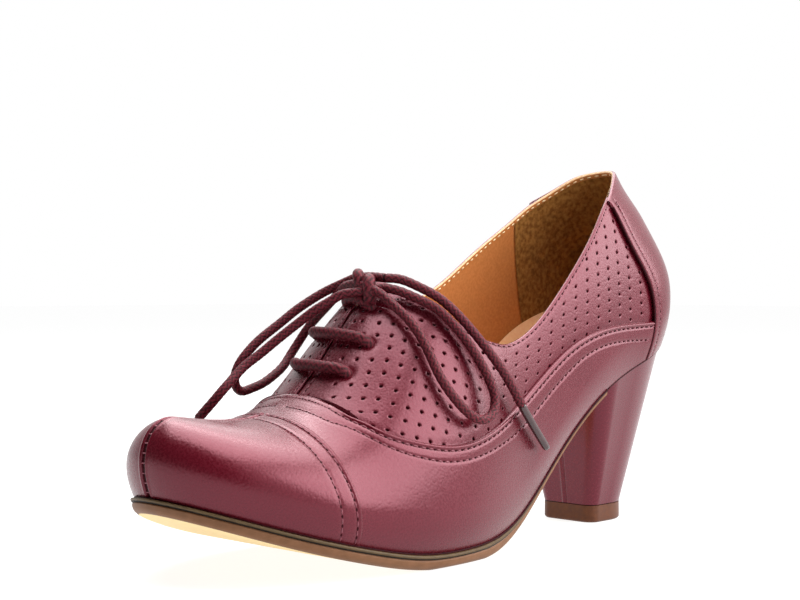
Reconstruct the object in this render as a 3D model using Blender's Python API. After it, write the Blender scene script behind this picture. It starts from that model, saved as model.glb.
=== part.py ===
"""Women's lace-up shoe for the left foot, with a block heel, standing empty on its sole."""

import math

import bmesh
import bpy
import numpy as np
from mathutils import Matrix, Vector

# Driving dimensions, in millimetres: x runs from heel to toe, y to the outer (left) side, z up
MM = 0.001
ORIGIN = (113.35, 2.43)         # place on the form that stands over the part's origin
GAP = 0.3                       # clearance between pieces that touch
UPPER_FACE = -1.2               # outer face of the upper, from the form of the finished shoe
WALL = 1.6                      # leather and lining of the upper
PANEL_BACK = UPPER_FACE + 0.5   # underside of the panels that lie on the upper
PANEL_FACE = 0.0                # face of the wing panel
OVERLAP_FACE = 0.3              # face of the toe cap and back stay, which lap over the wing panel
TONGUE_FACE = UPPER_FACE - WALL - 0.35
TONGUE_THICK = 1.4
LACE_DIAMETER = 3.0
LACE_CLEAR = 0.5                # lace bars over the facings
AGLET_DIAMETER = 2.7

# The form, one row for each section across the shoe: place along the foot, height of the feather
# edge, height of the ridge, half width on the outer and inner side, roundness of the arch
SECTIONS = (
    (0, 67.4, 141.0, 28.0, 28.0, 2.4),
    (25, 58.9, 141.0, 25.4, 25.4, 2.4),
    (50, 48.8, 140.0, 27.0, 26.6, 2.3),
    (75, 31.4, 133.0, 29.0, 26.5, 2.2),
    (100, 12.2, 119.0, 33.2, 28.0, 2.1),
    (115, 6.6, 109.2, 37.2, 31.0, 2.1),
    (135, 4.7, 94.2, 41.6, 35.5, 2.0),
    (155, 5.3, 75.0, 42.6, 37.6, 2.0),
    (175, 8.9, 53.3, 41.4, 38.0, 2.1),
    (200, 15.5, 46.1, 38.4, 36.8, 2.4),
    (231, 26.2, 50.2, 36.1, 36.1, 2.6),
)
# Line of the back of the heel: height above the feather edge, place along the foot
BACK_LINE = ((0, -1.8), (9.8, -4.0), (22.8, -4.6), (37.8, 1.2), (52.8, 9.2), (65.8, 15.0))
HEEL_ROUND = 29.0       # length over which the back rounds off
TOE_ROUND = 50.0        # length over which the toe rounds off
TOE_TIP = 231.8
TOE_TIP_SHARE = 0.39    # height of the foremost point, as a share of the section
TOE_ROLL_OVER = 11.8    # how far the toe rolls back above its foremost point
TOE_ROLL_UNDER = 2.3    # and below it
TUCK = 0.10             # share of the width drawn in at the feather edge
TUCK_HEIGHT = 14.0

# How each piece is divided: tables of first, last and count
HEEL_STATIONS = (0, 1, 7)                   # round the heel
TOE_STATIONS = (2.1, 3, 10)                 # round the toe
UPPER_PLACES = ((34, 104, 11), (108, 147, 13), (152, 176.5, 6))   # along the foot, closer at the low collar
UPPER_ROWS = 12
WING_SPREAD = ((0, 0.8, 17), (0.82, 0.895, 5), (0.902, 0.934, 11), (0.95, 1, 4))   # closer at the front
WING_ROWS = 9
CAP_COLUMNS, CAP_ROWS = 11, 11
STAY_COLUMNS, STAY_ROWS = 7, 12
TONGUE_COLUMNS, TONGUE_ROWS = 9, 6
SOLE_COLUMNS = 29
INSOLE_STATIONS = ((0, 1, 7), (1.06, 2, 16), (2.15, 3, 7))
CORNER_COLUMNS, FLANK_COLUMNS, HEEL_RINGS = 5, 9, 6
ROLL_STATION = (1.4, 1.7)       # rows close up towards the ridge from the first to the second value
ROLL_SHARE = (0.4, 0.7)
SHARP_ANGLE = 40                # degrees between faces that keep an edge
PASSES = 8                      # rounds until a place that depends on itself has settled
HALVINGS = 40

# Edges on the form
# Collar: place along the foot, height above the floor
COLLAR = ((13, 132.0), (24, 129.4), (31, 125.2), (42, 116.6), (50, 108.0), (63, 95.0), (77, 82.5),
          (89, 73.8), (101, 68.8), (107, 68.0), (117, 69.8), (125, 73.0), (134, 82.0), (141, 84.2),
          (147, 83.6))
# How much higher the collar runs on the inner side: place along the foot, height
INNER_RAISE = ((24, 0.0), (36, -0.2), (45.5, 2.7), (55.5, 6.8), (66.3, 10.8), (77, 13.5), (91, 14.6),
               (105, 13.2), (120, 9.0), (130, 4.7), (141, 0.2), (147, 0.0))
# Top edge of the wing panel: place along the foot, share of the section's height
WING_EDGE = ((20, 0.166), (37, 0.216), (50, 0.256), (70, 0.314), (88, 0.345), (105, 0.358), (118, 0.359),
             (130, 0.366), (142, 0.397), (152, 0.462), (162, 0.580), (168, 0.702), (171.5, 0.806),
             (173.6, 0.895), (174.8, 1.0))
# Front edge of the back stay: height above the feather edge, place along the foot
STAY_EDGE = ((0, 23.0), (15, 20.8), (28, 23.0), (45, 32.0), (62, 39.5), (70, 43.0))
CAP_EDGE_LOW = 181.3    # rear edge of the toe cap at the feather edge
CAP_EDGE_HIGH = 186.0   # and on the ridge
THROAT = 147.0          # front end of the collar
SLIT_HALF = 1.3         # half the gap between the facings
SLIT_END = 176.5
# Eyelets, a row for each lace bar: places of the outer and the inner one along the foot, their distance from
# the middle line, and the place where the bar crosses the slit
EYELETS = ((148.3, 147.3, 7.0, 148.2), (156.2, 153.6, 14.6, 158.4), (165.0, 163.3, 13.6, 166.9))
EYELET_DIAMETER = 3.4
BAR_DIAMETER = 3.6
# Lace bar from an eyelet to the slit: height on the section, part of the way to the crossing
BAR_PATH = ((0.96, 0.5), (0.985, 0.8), (1.0, 1.0))
TONGUE_SPAN = (139.5, 181.0)
TONGUE_SHARE = 0.86     # how far down the section the tongue reaches

# Sole: place along the foot, thickness
SOLE_THICKNESS = ((40, 1.5), (75, 2.0), (100, 3.3), (115, 4.6), (135, 4.8), (160, 4.7), (200, 4.4),
                  (231, 4.2))
# Edge of the sole, from its top to its bottom: reach beyond the form, share of the thickness
SOLE_EDGE = ((0.1, 0.0), (1.3, 0.04), (1.5, 0.20), (0.7, 0.30), (1.1, 0.42), (0.7, 0.75), (-1.0, 1.0))
SOLE_REACH = ((40, 0.1), (100, 0.4), (140, 0.9), (231, 1.0))
SOLE_TOE = 178.0        # where the sole starts to round off
INSOLE_CLEAR = UPPER_FACE - WALL - 0.4
INSOLE_BOTTOM = 0.25
INSOLE_TOP = 2.2
BREAST = 47.5           # front of the heel at the seat
HEEL_TIP_FRONT = 42.0
HEEL_TIP_BACK = 17.2
HEEL_TIP_HALF = 12.3
HEEL_TIP_HEIGHT = 6.2
HEEL_TIP_ROUND = 0.8    # rounding of the heel tip at the floor
HEEL_TIP_SHRINK = 0.96  # size of its face on the floor
HEEL_CORNER = 5.0       # rounding of the breast's corners at the seat

# Lace: hand-laid routes of the bow in millimetres on the form
KNOT = ((145.4, -1.2, 90.2), (146.4, 2.6, 88.9), (147.0, 6.0, 87.2))
RIGHT_LOOP = ((145.2, 10.2, 86.2), (143.2, 14.4, 85.2), (140.2, 19.4, 82.9), (136.4, 24.4, 79.7),
              (133.4, 28.4, 75.2), (130.2, 31.9, 69.5), (127.2, 34.8, 63.0), (124.8, 37.0, 56.6),
              (124.0, 38.5, 51.2), (126.2, 39.6, 46.8), (130.8, 39.9, 44.9), (135.8, 39.4, 46.4),
              (139.4, 38.2, 49.6), (142.2, 36.4, 53.6), (144.2, 33.8, 58.6), (145.0, 30.2, 65.2),
              (145.4, 26.2, 71.3), (146.2, 21.6, 76.4), (147.2, 16.4, 80.6), (148.0, 11.4, 84.2))
RIGHT_END = ((143.1, 8.4, 89.3), (140.8, 12.2, 89.0), (138.2, 17.4, 86.9), (134.5, 22.6, 83.6),
             (130.4, 27.6, 78.2), (125.8, 31.8, 71.2), (121.0, 34.6, 64.4), (115.4, 36.0, 57.2),
             (111.2, 36.3, 51.6), (108.4, 36.0, 48.3))
RIGHT_AGLET = ((108.2, 35.9, 48.0), (101.4, 35.3, 40.6), (93.8, 34.4, 33.0))
LEFT_LOOP = ((144.4, -5.9, 89.1), (146.2, -10.5, 87.1), (148.9, -14.6, 84.8), (152.7, -17.6, 81.9),
             (156.8, -20.2, 78.6), (161.3, -22.5, 74.6), (166.0, -24.3, 70.9), (169.3, -25.5, 68.0),
             (172.4, -26.3, 64.8), (174.7, -27.1, 61.6), (175.7, -28.1, 57.8), (174.6, -29.1, 54.3),
             (172.1, -29.4, 52.5), (168.9, -29.0, 53.0), (164.5, -28.3, 54.5), (159.5, -28.3, 57.0),
             (154.5, -28.9, 60.1), (150.8, -29.5, 63.7), (148.0, -28.9, 67.6), (146.2, -26.5, 72.1),
             (145.4, -22.9, 75.9), (145.4, -17.9, 79.6), (146.4, -11.1, 83.9), (147.9, -5.8, 86.6))
LEFT_END = ((152.0, 2.1, 84.6), (153.9, 0.2, 84.2), (156.3, -2.9, 82.2), (159.4, -6.5, 79.4),
            (162.4, -10.2, 75.9), (165.8, -13.5, 72.2), (169.5, -16.4, 68.4), (173.5, -19.0, 64.5),
            (178.1, -20.7, 60.9), (182.0, -21.0, 57.5), (186.3, -21.6, 53.4), (188.7, -24.0, 49.4),
            (189.9, -26.5, 46.5), (190.3, -28.3, 44.7))
LEFT_AGLET = ((190.4, -28.7, 44.3), (191.6, -33.2, 38.4), (192.6, -36.1, 30.6))

# Finishes: name, linear colour, roughness
LEATHER = ("burgundy_leather", (0.118, 0.018, 0.030, 1.0), 0.38)
LINING = ("tan_lining", (0.420, 0.190, 0.062, 1.0), 0.6)
RUBBER = ("brown_sole", (0.150, 0.075, 0.036, 1.0), 0.55)
COTTON = ("waxed_cotton", (0.060, 0.009, 0.014, 1.0), 0.7)
PLASTIC = ("aglet_plastic", (0.100, 0.045, 0.038, 1.0), 0.3)


def spans(*rows):
    """Evenly spaced values of each row of (first, last, count), one row after the other"""
    return np.concatenate([np.linspace(*row) for row in rows])


def spline(rows):
    """Natural cubic curve through rows of (place, value), straight beyond its ends"""
    place, value = np.array(rows, float).T
    count = len(place)
    step = np.diff(place)
    matrix = np.eye(count)
    right = np.zeros(count)
    for i in range(1, count - 1):
        matrix[i, i - 1:i + 2] = step[i - 1], 2 * (step[i - 1] + step[i]), step[i]
        right[i] = 6 * ((value[i + 1] - value[i]) / step[i] - (value[i] - value[i - 1]) / step[i - 1])
    bend = np.linalg.solve(matrix, right)
    slope_start = (value[1] - value[0]) / step[0] - step[0] * bend[1] / 6
    slope_end = (value[-1] - value[-2]) / step[-1] + step[-1] * bend[-2] / 6

    def curve(x):
        x = np.asarray(x, float)
        i = np.clip(np.searchsorted(place, x) - 1, 0, count - 2)
        before = x - place[i]
        after = place[i + 1] - x
        inside = (bend[i] * after ** 3 + bend[i + 1] * before ** 3) / (6 * step[i])
        inside = inside + (value[i] / step[i] - bend[i] * step[i] / 6) * after
        inside = inside + (value[i + 1] / step[i] - bend[i + 1] * step[i] / 6) * before
        low = value[0] + slope_start * (x - place[0])
        high = value[-1] + slope_end * (x - place[-1])
        return np.where(x < place[0], low, np.where(x > place[-1], high, inside))

    return curve


ALONG, FEATHER, RIDGE, OUTER_HALF, INNER_HALF, ARCH = zip(*SECTIONS)
feather = spline(list(zip(ALONG, FEATHER)))
ridge = spline(list(zip(ALONG, RIDGE)))
outer_half = spline(list(zip(ALONG, OUTER_HALF)))
inner_half = spline(list(zip(ALONG, INNER_HALF)))
arch = spline(list(zip(ALONG, ARCH)))
back_line = spline(BACK_LINE)
collar = spline(COLLAR)
inner_raise = spline(INNER_RAISE)
wing_edge = spline(WING_EDGE)
stay_edge = spline(STAY_EDGE)
sole_thickness = spline(SOLE_THICKNESS)
sole_reach = spline(SOLE_REACH)


def toe_line(share):
    """Foremost place along the foot at a share of the section's height"""
    over = np.clip((share - TOE_TIP_SHARE) / (1 - TOE_TIP_SHARE), 0, 1)
    under = np.clip((TOE_TIP_SHARE - share) / TOE_TIP_SHARE, 0, 1)
    return TOE_TIP - TOE_ROLL_OVER * (1 - np.sqrt(1 - over ** 2)) - TOE_ROLL_UNDER * under ** 2


def along(station, share):
    """Place along the foot: stations 0 to 1 round the heel, 1 to 2 the foot, 2 to 3 round the toe"""
    toe = toe_line(share)
    turn_heel = 1 - np.cos(np.clip(station, 0, 1) * math.pi / 2)
    turn_toe = 1 - np.cos(np.clip(3 - station, 0, 1) * math.pi / 2)
    x = station * TOE_TIP / 3
    for _ in range(PASSES):
        back = back_line(share * (ridge(x) - feather(x)))
        foot = back + HEEL_ROUND + (station - 1) * (toe - TOE_ROUND - back - HEEL_ROUND)
        front = toe - TOE_ROUND * turn_toe
        x = np.where(station < 1, back + HEEL_ROUND * turn_heel, np.where(station < 2, foot, front))
    return x


def station_at(x, share):
    """Station of a place along the foot, the inverse of along()"""
    toe = toe_line(share)
    back = back_line(share * (ridge(x) - feather(x)))
    heel = np.arccos(np.clip(1 - (x - back) / HEEL_ROUND, 0, 1)) * 2 / math.pi
    foot = 1 + (x - back - HEEL_ROUND) / (toe - TOE_ROUND - back - HEEL_ROUND)
    front = 3 - np.arccos(np.clip(1 - (toe - x) / TOE_ROUND, 0, 1)) * 2 / math.pi
    return np.where(x < back + HEEL_ROUND, heel, np.where(x < toe - TOE_ROUND, foot, front))


def place(station, share, side):
    """Point of the form; side is +1 for the outer and -1 for the inner side of the foot"""
    station, share = np.broadcast_arrays(np.asarray(station, float), np.asarray(share, float))
    x = along(station, share)
    low = feather(x)
    height = share * (ridge(x) - low)
    power = arch(x)
    half = outer_half(x) if side > 0 else inner_half(x)
    width = half * (1 - share ** power) ** (1 / power)
    width = width * (1 - TUCK * np.clip(1 - height / TUCK_HEIGHT, 0, 1) ** 2)
    width = width * np.sin(np.clip(station, 0, 1) * math.pi / 2)
    width = width * np.sin(np.clip(3 - station, 0, 1) * math.pi / 2)
    return np.stack([x, side * width, low + height], -1)


def normal(station, share, side):
    """Outward direction of the form, from small steps along it and up it"""
    step = 0.002
    station, share = np.broadcast_arrays(np.asarray(station, float), np.asarray(share, float))
    inner = np.clip(station, 2 * step, 3 - 2 * step)
    angle = np.clip(np.arcsin(share), 0, math.pi / 2 - 2 * step)
    forward = place(inner + step, np.sin(angle), side) - place(inner - step, np.sin(angle), side)
    below = np.sin(np.maximum(angle - step, 0))
    upward = place(inner, np.sin(angle + step), side) - place(inner, below, side)
    out = -side * np.cross(forward, upward)
    on_middle = (station <= 0) | (station >= 3) | (share >= 1)
    out[..., 1] = np.where(on_middle, 0, out[..., 1])
    return out / np.linalg.norm(out, axis=-1, keepdims=True)


def lifted(station, share, side, lift):
    """Point of the form moved out by lift; the bottom row stays level with the feather edge"""
    station, share = np.broadcast_arrays(np.asarray(station, float), np.asarray(share, float))
    out = normal(station, share, side)
    bottom = share <= 0
    out[..., 2] = np.where(bottom, 0, out[..., 2])
    out = out / np.linalg.norm(out, axis=-1, keepdims=True)
    point = place(station, share, side) + out * np.asarray(lift)[..., None]
    point[..., 2] = np.where(bottom, feather(point[..., 0]), point[..., 2])
    return point


def edge_share(column, beyond, count):
    """Share of the height at which each column of a piece reaches the piece's edge, 1 if it never does"""
    low = np.zeros(count)
    high = np.ones(count)
    for _ in range(HALVINGS):
        middle = (low + high) / 2
        over = beyond(column(middle), middle)
        high = np.where(over, middle, high)
        low = np.where(over, low, middle)
    return np.where(high >= 1, 1.0, low)


def stay_front(share):
    """Place along the foot of the back stay's front edge"""
    x = np.full_like(share, STAY_EDGE[0][1])
    for _ in range(PASSES):
        x = stay_edge(share * (ridge(x) - feather(x)))
    return x


def cap_edge(share):
    return CAP_EDGE_LOW + (CAP_EDGE_HIGH - CAP_EDGE_LOW) * share


def above_collar(station, share, side):
    """Whether a place on the form is in the opening for the foot"""
    point = place(station, share, side)
    x = point[..., 0]
    raised = np.where((side < 0) & (x > INNER_RAISE[0][0]), inner_raise(x), 0.0)
    return (x < THROAT) & (point[..., 2] > collar(x) + raised)


def rows_up(count, top, stations):
    """Shares from 0 to top in each column, even up the heel and closer together where the foot rolls over"""
    even = np.linspace(0, 1, count)[:, None]
    rolled = np.sin(even * math.pi / 2)
    roll = np.interp(stations, ROLL_STATION, (0, 1)) * np.interp(top, ROLL_SHARE, (0, 1))
    return (even + (rolled - even) * roll) * top


def to_frame(points):
    """Millimetres on the form to metres in the part's own frame"""
    return (np.asarray(points, float) - (ORIGIN[0], ORIGIN[1], 0)) * MM


def material(name, colour, roughness):
    made = bpy.data.materials.new(name)
    made.use_nodes = True
    shader = made.node_tree.nodes["Principled BSDF"]
    shader.inputs["Base Color"].default_value = colour
    shader.inputs["Roughness"].default_value = roughness
    shader.inputs["Metallic"].default_value = 0.0
    return made


def finish_mesh(name, work, finish):
    """Object from a bmesh of triangles with its faces pointing out"""
    bmesh.ops.triangulate(work, faces=work.faces[:], quad_method="SHORT_EDGE")
    bmesh.ops.recalc_face_normals(work, faces=work.faces[:])
    mesh = bpy.data.meshes.new(name)
    work.to_mesh(mesh)
    work.free()
    mesh.shade_smooth()
    mesh.set_sharp_from_angle(angle=math.radians(SHARP_ANGLE))
    mesh.materials.append(finish)
    made = bpy.data.objects.new(name, mesh)
    bpy.context.scene.collection.objects.link(made)
    return made


def shell(name, grids, outer_lift, inner_lift, finish, seam_half=0.0):
    """Closed sheet between two lifts of the form, over grids of (stations, shares, side)"""
    work = bmesh.new()
    pairs = {}
    cells = []
    for stations, shares, side in grids:
        keys = np.round(place(stations, shares, side), 3) + 0.0
        faces = lifted(stations, shares, side, np.full(stations.shape, outer_lift))
        backs = lifted(stations, shares, side, np.full(stations.shape, inner_lift))
        for points in (faces, backs):
            points[..., 1] = side * np.maximum(side * points[..., 1], seam_half)
        names = [[tuple(key) for key in row] for row in keys]
        for i, row in enumerate(names):
            for j, key in enumerate(row):
                if key not in pairs:
                    ends = to_frame([faces[i, j], backs[i, j]])
                    pairs[key] = [work.verts.new(end) for end in ends]
        for i in range(len(names) - 1):
            for j in range(len(names[0]) - 1):
                corners = [names[i][j], names[i + 1][j], names[i + 1][j + 1], names[i][j + 1]]
                corners = list(dict.fromkeys(corners if side > 0 else corners[::-1]))
                if len(corners) > 2:
                    cells.append(corners)
    directed = set()
    for corners in cells:
        work.faces.new([pairs[key][0] for key in corners])
        work.faces.new([pairs[key][1] for key in reversed(corners)])
        directed.update(zip(corners, corners[1:] + corners[:1]))
    for start, end in sorted(directed):
        if (end, start) not in directed:
            work.faces.new([pairs[end][0], pairs[start][0], pairs[start][1], pairs[end][1]])
    return finish_mesh(name, work, finish)


def stacked(name, rings, finish):
    """Solid through rings; each ring is an outer and an inner chain of points that share both ends"""
    work = bmesh.new()
    layers = []
    for outer, inner in rings:
        first = [work.verts.new(point) for point in to_frame(outer)]
        second = [work.verts.new(point) for point in to_frame(inner[1:-1])]
        layers.append((first, [first[0]] + second + [first[-1]]))
    for (low_outer, low_inner), (high_outer, high_inner) in zip(layers, layers[1:]):
        for low, high in ((low_outer, high_outer), (low_inner, high_inner)):
            for i in range(len(low) - 1):
                work.faces.new([low[i], low[i + 1], high[i + 1], high[i]])
    for outer, inner in (layers[0], layers[-1]):
        for i in range(len(outer) - 1):
            corners = dict.fromkeys([outer[i], outer[i + 1], inner[i + 1], inner[i]])
            work.faces.new(list(corners))
    return finish_mesh(name, work, finish)


def upper(finish):
    """Hollow wall over the whole last, open at the collar, between the facings and underneath"""
    places = spans(*UPPER_PLACES)
    columns = np.concatenate([spans(HEEL_STATIONS), station_at(places, np.ones_like(places)),
                              spans(TOE_STATIONS)])
    grids = []
    for side in (1, -1):

        def beyond(station, share):
            point = place(station, share, side)
            over_tongue = (point[..., 0] > TONGUE_SPAN[0]) & (point[..., 0] < SLIT_END - 0.01)
            slit = over_tongue & (np.abs(point[..., 1]) < SLIT_HALF)
            return above_collar(station, share, side) | slit

        top = edge_share(lambda share: columns, beyond, len(columns))
        shares = rows_up(UPPER_ROWS, top, columns)
        stations = np.broadcast_to(columns, shares.shape)
        grids.append((stations, shares, side))
    made = shell("upper", grids, UPPER_FACE, UPPER_FACE - WALL, finish)
    punch = made.modifiers.new("eyelets", "BOOLEAN")
    punch.operation = "DIFFERENCE"
    punch.solver = "EXACT"
    punch.object = eyelet_punches()
    return made


def eyelet_spot(x, away, side, lift):
    """Place over an eyelet at a distance from the middle line, and the way out of it"""

    def column(share):
        return station_at(np.full(1, x), share)

    def beyond(station, share):
        return side * place(station, share, side)[..., 1] < away

    share = edge_share(column, beyond, 1)
    station = column(share)
    return lifted(station, share, side, lift)[0], normal(station, share, side)[0]


def eyelet_punches():
    """Cutter with a short rod through each eyelet"""
    work = bmesh.new()
    for outer, inner, away, _ in EYELETS:
        for x, side in ((outer, 1), (inner, -1)):
            spot, out = eyelet_spot(x, away, side, UPPER_FACE - WALL / 2)
            turn = Vector(out).to_track_quat("Z", "Y").to_matrix().to_4x4()
            bmesh.ops.create_cone(work, cap_ends=True, segments=12, radius1=EYELET_DIAMETER * MM / 2,
                                  radius2=EYELET_DIAMETER * MM / 2, depth=3 * WALL * MM,
                                  matrix=Matrix.Translation(to_frame(spot)) @ turn)
    mesh = bpy.data.meshes.new("eyelet_punches")
    work.to_mesh(mesh)
    work.free()
    made = bpy.data.objects.new("eyelet_punches", mesh)
    bpy.context.scene.collection.objects.link(made)
    made.hide_render = True
    made.display_type = "WIRE"
    return made


def wing_panel(finish):
    """Lower panel from back stay to back stay round the front, from the feather edge to its curved top"""
    spread = spans(*WING_SPREAD)
    grids = []
    for side in (1, -1):

        def column(share):
            share = np.broadcast_to(share, spread.shape)
            rear = stay_front(share) + GAP
            x = rear + spread * (cap_edge(share) - GAP - rear)
            return station_at(x, share)

        def beyond(station, share):
            return share > wing_edge(along(station, share))

        top = edge_share(column, beyond, len(spread))
        shares = rows_up(WING_ROWS, top, column(top))
        stations = np.array([column(row) for row in shares])
        grids.append((stations, shares, side))
    return shell("wing_panel", grids, PANEL_FACE, PANEL_BACK, finish)


def toe_cap(name, side, finish):
    """Half of the toe cap, from its rear edge to the seam over the toe"""
    spread = np.linspace(0, 1, CAP_COLUMNS)
    shares = rows_up(CAP_ROWS, np.ones_like(spread), 2 + spread)
    rear = station_at(cap_edge(shares), shares)
    stations = rear + (3 - rear) * spread
    return shell(name, [(stations, shares, side)], OVERLAP_FACE, PANEL_BACK, finish, seam_half=GAP)


def back_stay(finish):
    """Strip over the back seam from the feather edge to the top of the collar"""
    spread = np.linspace(0, 1, STAY_COLUMNS)
    rows = np.linspace(0, 1, STAY_ROWS)
    grids = []
    for side in (1, -1):

        def column(share):
            share = np.broadcast_to(share, spread.shape)
            return spread * station_at(stay_front(share), share)

        def beyond(station, share):
            return above_collar(station, share, side)

        top = edge_share(column, beyond, len(spread))
        shares = rows[:, None] * top
        stations = np.array([column(row) for row in shares])
        grids.append((stations, shares, side))
    return shell("back_stay", grids, OVERLAP_FACE, PANEL_BACK, finish)


def tongue(finish):
    """Strip of leather under the facings"""
    places = np.linspace(*TONGUE_SPAN, TONGUE_COLUMNS)
    rows = np.sin(np.linspace(math.asin(TONGUE_SHARE), math.pi / 2, TONGUE_ROWS))
    places, shares = np.meshgrid(places, rows)
    stations = station_at(places, shares)
    grids = [(stations, shares, side) for side in (1, -1)]
    return shell("tongue", grids, TONGUE_FACE, TONGUE_FACE - TONGUE_THICK, finish)


def foot_chain(stations, side, reach):
    """Points along one side of the foot's outline, from the middle of its rear end to the toe"""
    side_points = lifted(stations, np.zeros_like(stations), side, reach)
    side_points[-1, 1] = 0.0
    rear = side_points[0].copy()
    rear[1] = 0.0
    if stations[0] <= 0:
        return side_points
    return np.vstack([rear, side_points])


def outsole(finish):
    """Sole from the breast of the heel to the toe: lip, groove and edge, flat on the floor under the ball"""
    places = np.linspace(BREAST + 2 * GAP, SOLE_TOE, SOLE_COLUMNS)
    stations = np.concatenate([station_at(places, np.zeros_like(places)), spans(TOE_STATIONS)])
    reaches = sole_reach(along(stations, np.zeros_like(stations)))
    rings = []
    for reach, drop in SOLE_EDGE:
        ring = []
        for side in (1, -1):
            chain = foot_chain(stations, side, reach * reaches)
            top = feather(chain[:, 0]) - GAP
            chain[:, 2] = top - drop * np.minimum(sole_thickness(chain[:, 0]), top)
            ring.append(chain)
        ring[1][0] = ring[0][0]
        ring[1][-1] = ring[0][-1]
        rings.append(ring)
    return stacked("outsole", rings, finish)


def insole(finish):
    """Sock on the floor of the shoe, inside the wall of the upper"""
    stations = spans(*INSOLE_STATIONS)
    rings = []
    for height in (INSOLE_BOTTOM, INSOLE_TOP):
        ring = []
        for side in (1, -1):
            chain = foot_chain(stations, side, np.full(stations.shape, INSOLE_CLEAR))
            chain[0, 1] = 0.0
            chain[:, 2] = feather(chain[:, 0]) + height
            ring.append(chain)
        ring[1][0] = ring[0][0]
        ring[1][-1] = ring[0][-1]
        rings.append(ring)
    return stacked("insole", rings, finish)


def heel_chain(side, grow):
    """One side of the heel's outline at the seat (grow 1) or at the heel tip (grow 0), front to back"""
    bend = np.linspace(0, math.pi / 2, CORNER_COLUMNS)
    stations = station_at(np.array(BREAST - HEEL_CORNER), np.array(0.0)) * np.linspace(1, 0, FLANK_COLUMNS)
    flanks = lifted(stations, np.zeros_like(stations), side, np.full_like(stations, PANEL_BACK))
    flanks[-1, 1] = 0.0
    corner_half = abs(flanks[0, 1]) - HEEL_CORNER
    corner_x = flanks[0, 0] + HEEL_CORNER * np.cos(bend)
    corner_y = side * (corner_half + HEEL_CORNER * np.sin(bend))
    front = [(corner_x[0], 0.0), (corner_x[0], side * corner_half / 2)]
    corner = list(zip(corner_x[:-1], corner_y[:-1]))
    seat = np.array(front + corner + [tuple(point[:2]) for point in flanks])
    share = (seat[:, 0] - flanks[-1, 0]) / (corner_x[0] - flanks[-1, 0])
    tip_x = HEEL_TIP_BACK + share * (HEEL_TIP_FRONT - HEEL_TIP_BACK)
    tip_y = seat[:, 1] * HEEL_TIP_HALF / abs(flanks[0, 1])
    tip = np.column_stack([tip_x, tip_y])
    return tip + grow * (seat - tip), seat


def heel(finish):
    """Wrapped block heel, tapering from the seat under the upper to the heel tip"""
    rings = []
    for rise in np.linspace(0, 1, HEEL_RINGS):
        ring = []
        for side in (1, -1):
            outline, seat = heel_chain(side, rise)
            bottom = HEEL_TIP_HEIGHT + GAP
            top = feather(seat[:, 0]) - GAP
            ring.append(np.column_stack([outline, bottom + rise * (top - bottom)]))
        rings.append(ring)
    return stacked("heel", rings, finish)


def heel_tip(finish):
    """Hard-wearing tip that the heel stands on, with a small rounding at the floor"""
    rings = []
    for shrink, height in ((HEEL_TIP_SHRINK, 0.0), (1.0, HEEL_TIP_ROUND), (1.0, HEEL_TIP_HEIGHT)):
        ring = []
        for side in (1, -1):
            outline, _ = heel_chain(side, 0.0)
            middle = np.array([(HEEL_TIP_FRONT + HEEL_TIP_BACK) / 2, 0.0])
            outline = middle + (outline - middle) * shrink
            ring.append(np.column_stack([outline, np.full(len(outline), height)]))
        rings.append(ring)
    return stacked("heel_tip", rings, finish)


def cord(name, route, diameter, finish):
    """Tube along a smooth curve through the route's points, with closed ends"""
    route = np.array(route, float)
    length = np.concatenate([[0], np.cumsum(np.linalg.norm(np.diff(route, axis=0), axis=1))])
    count = max(3, int(length[-1] / (2 * diameter)) + 1)
    reads = np.linspace(0, length[-1], count)
    axes = [spline(list(zip(length, route[:, axis])))(reads) for axis in range(3)]
    points = to_frame(np.column_stack(axes))
    curve = bpy.data.curves.new(name, "CURVE")
    curve.dimensions = "3D"
    curve.bevel_depth = diameter * MM / 2
    curve.bevel_resolution = 2
    curve.use_fill_caps = True
    line = curve.splines.new("POLY")
    line.points.add(count - 1)
    for point, target in zip(points, line.points):
        target.co = (*point, 1.0)
    curve.materials.append(finish)
    made = bpy.data.objects.new(name, curve)
    bpy.context.scene.collection.objects.link(made)
    return made


def lace_bar(name, eyelets, finish):
    """Stretch of lace over the slit, from above one eyelet to above the other"""
    outer, inner, away, crossing = eyelets
    lift = UPPER_FACE + BAR_DIAMETER / 2 + LACE_CLEAR
    shares, parts = np.array(BAR_PATH).T
    route = []
    for x, side in ((outer, 1), (inner, -1)):
        places = x + parts * (crossing - x)
        over = lifted(station_at(places, shares), shares, side, np.full_like(shares, lift))
        eyelet = eyelet_spot(x, away, side, lift)[0]
        half = [eyelet, *over[side * over[:, 1] < side * eyelet[1] - BAR_DIAMETER / 2]]
        route = route + half if side > 0 else route + half[-2::-1]
    return cord(name, route, BAR_DIAMETER, finish)


def build():
    for old in list(bpy.data.objects):
        bpy.data.objects.remove(old, do_unlink=True)
    leather = material(*LEATHER)
    lining = material(*LINING)
    rubber = material(*RUBBER)
    cotton = material(*COTTON)
    plastic = material(*PLASTIC)
    upper(leather)
    wing_panel(leather)
    toe_cap("toe_cap_outer", 1, leather)
    toe_cap("toe_cap_inner", -1, leather)
    back_stay(leather)
    tongue(leather)
    insole(lining)
    outsole(rubber)
    heel(leather)
    heel_tip(rubber)
    for count, eyelets in enumerate(EYELETS, 1):
        lace_bar(f"lace_bar_{count}", eyelets, cotton)
    cord("lace_knot", KNOT, 2 * LACE_DIAMETER, cotton)
    cord("lace_loop_right", RIGHT_LOOP, LACE_DIAMETER, cotton)
    cord("lace_end_right", RIGHT_END, LACE_DIAMETER, cotton)
    cord("aglet_right", RIGHT_AGLET, AGLET_DIAMETER, plastic)
    cord("lace_loop_left", LEFT_LOOP, LACE_DIAMETER, cotton)
    cord("lace_end_left", LEFT_END, LACE_DIAMETER, cotton)
    cord("aglet_left", LEFT_AGLET, AGLET_DIAMETER, plastic)


build()
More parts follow.
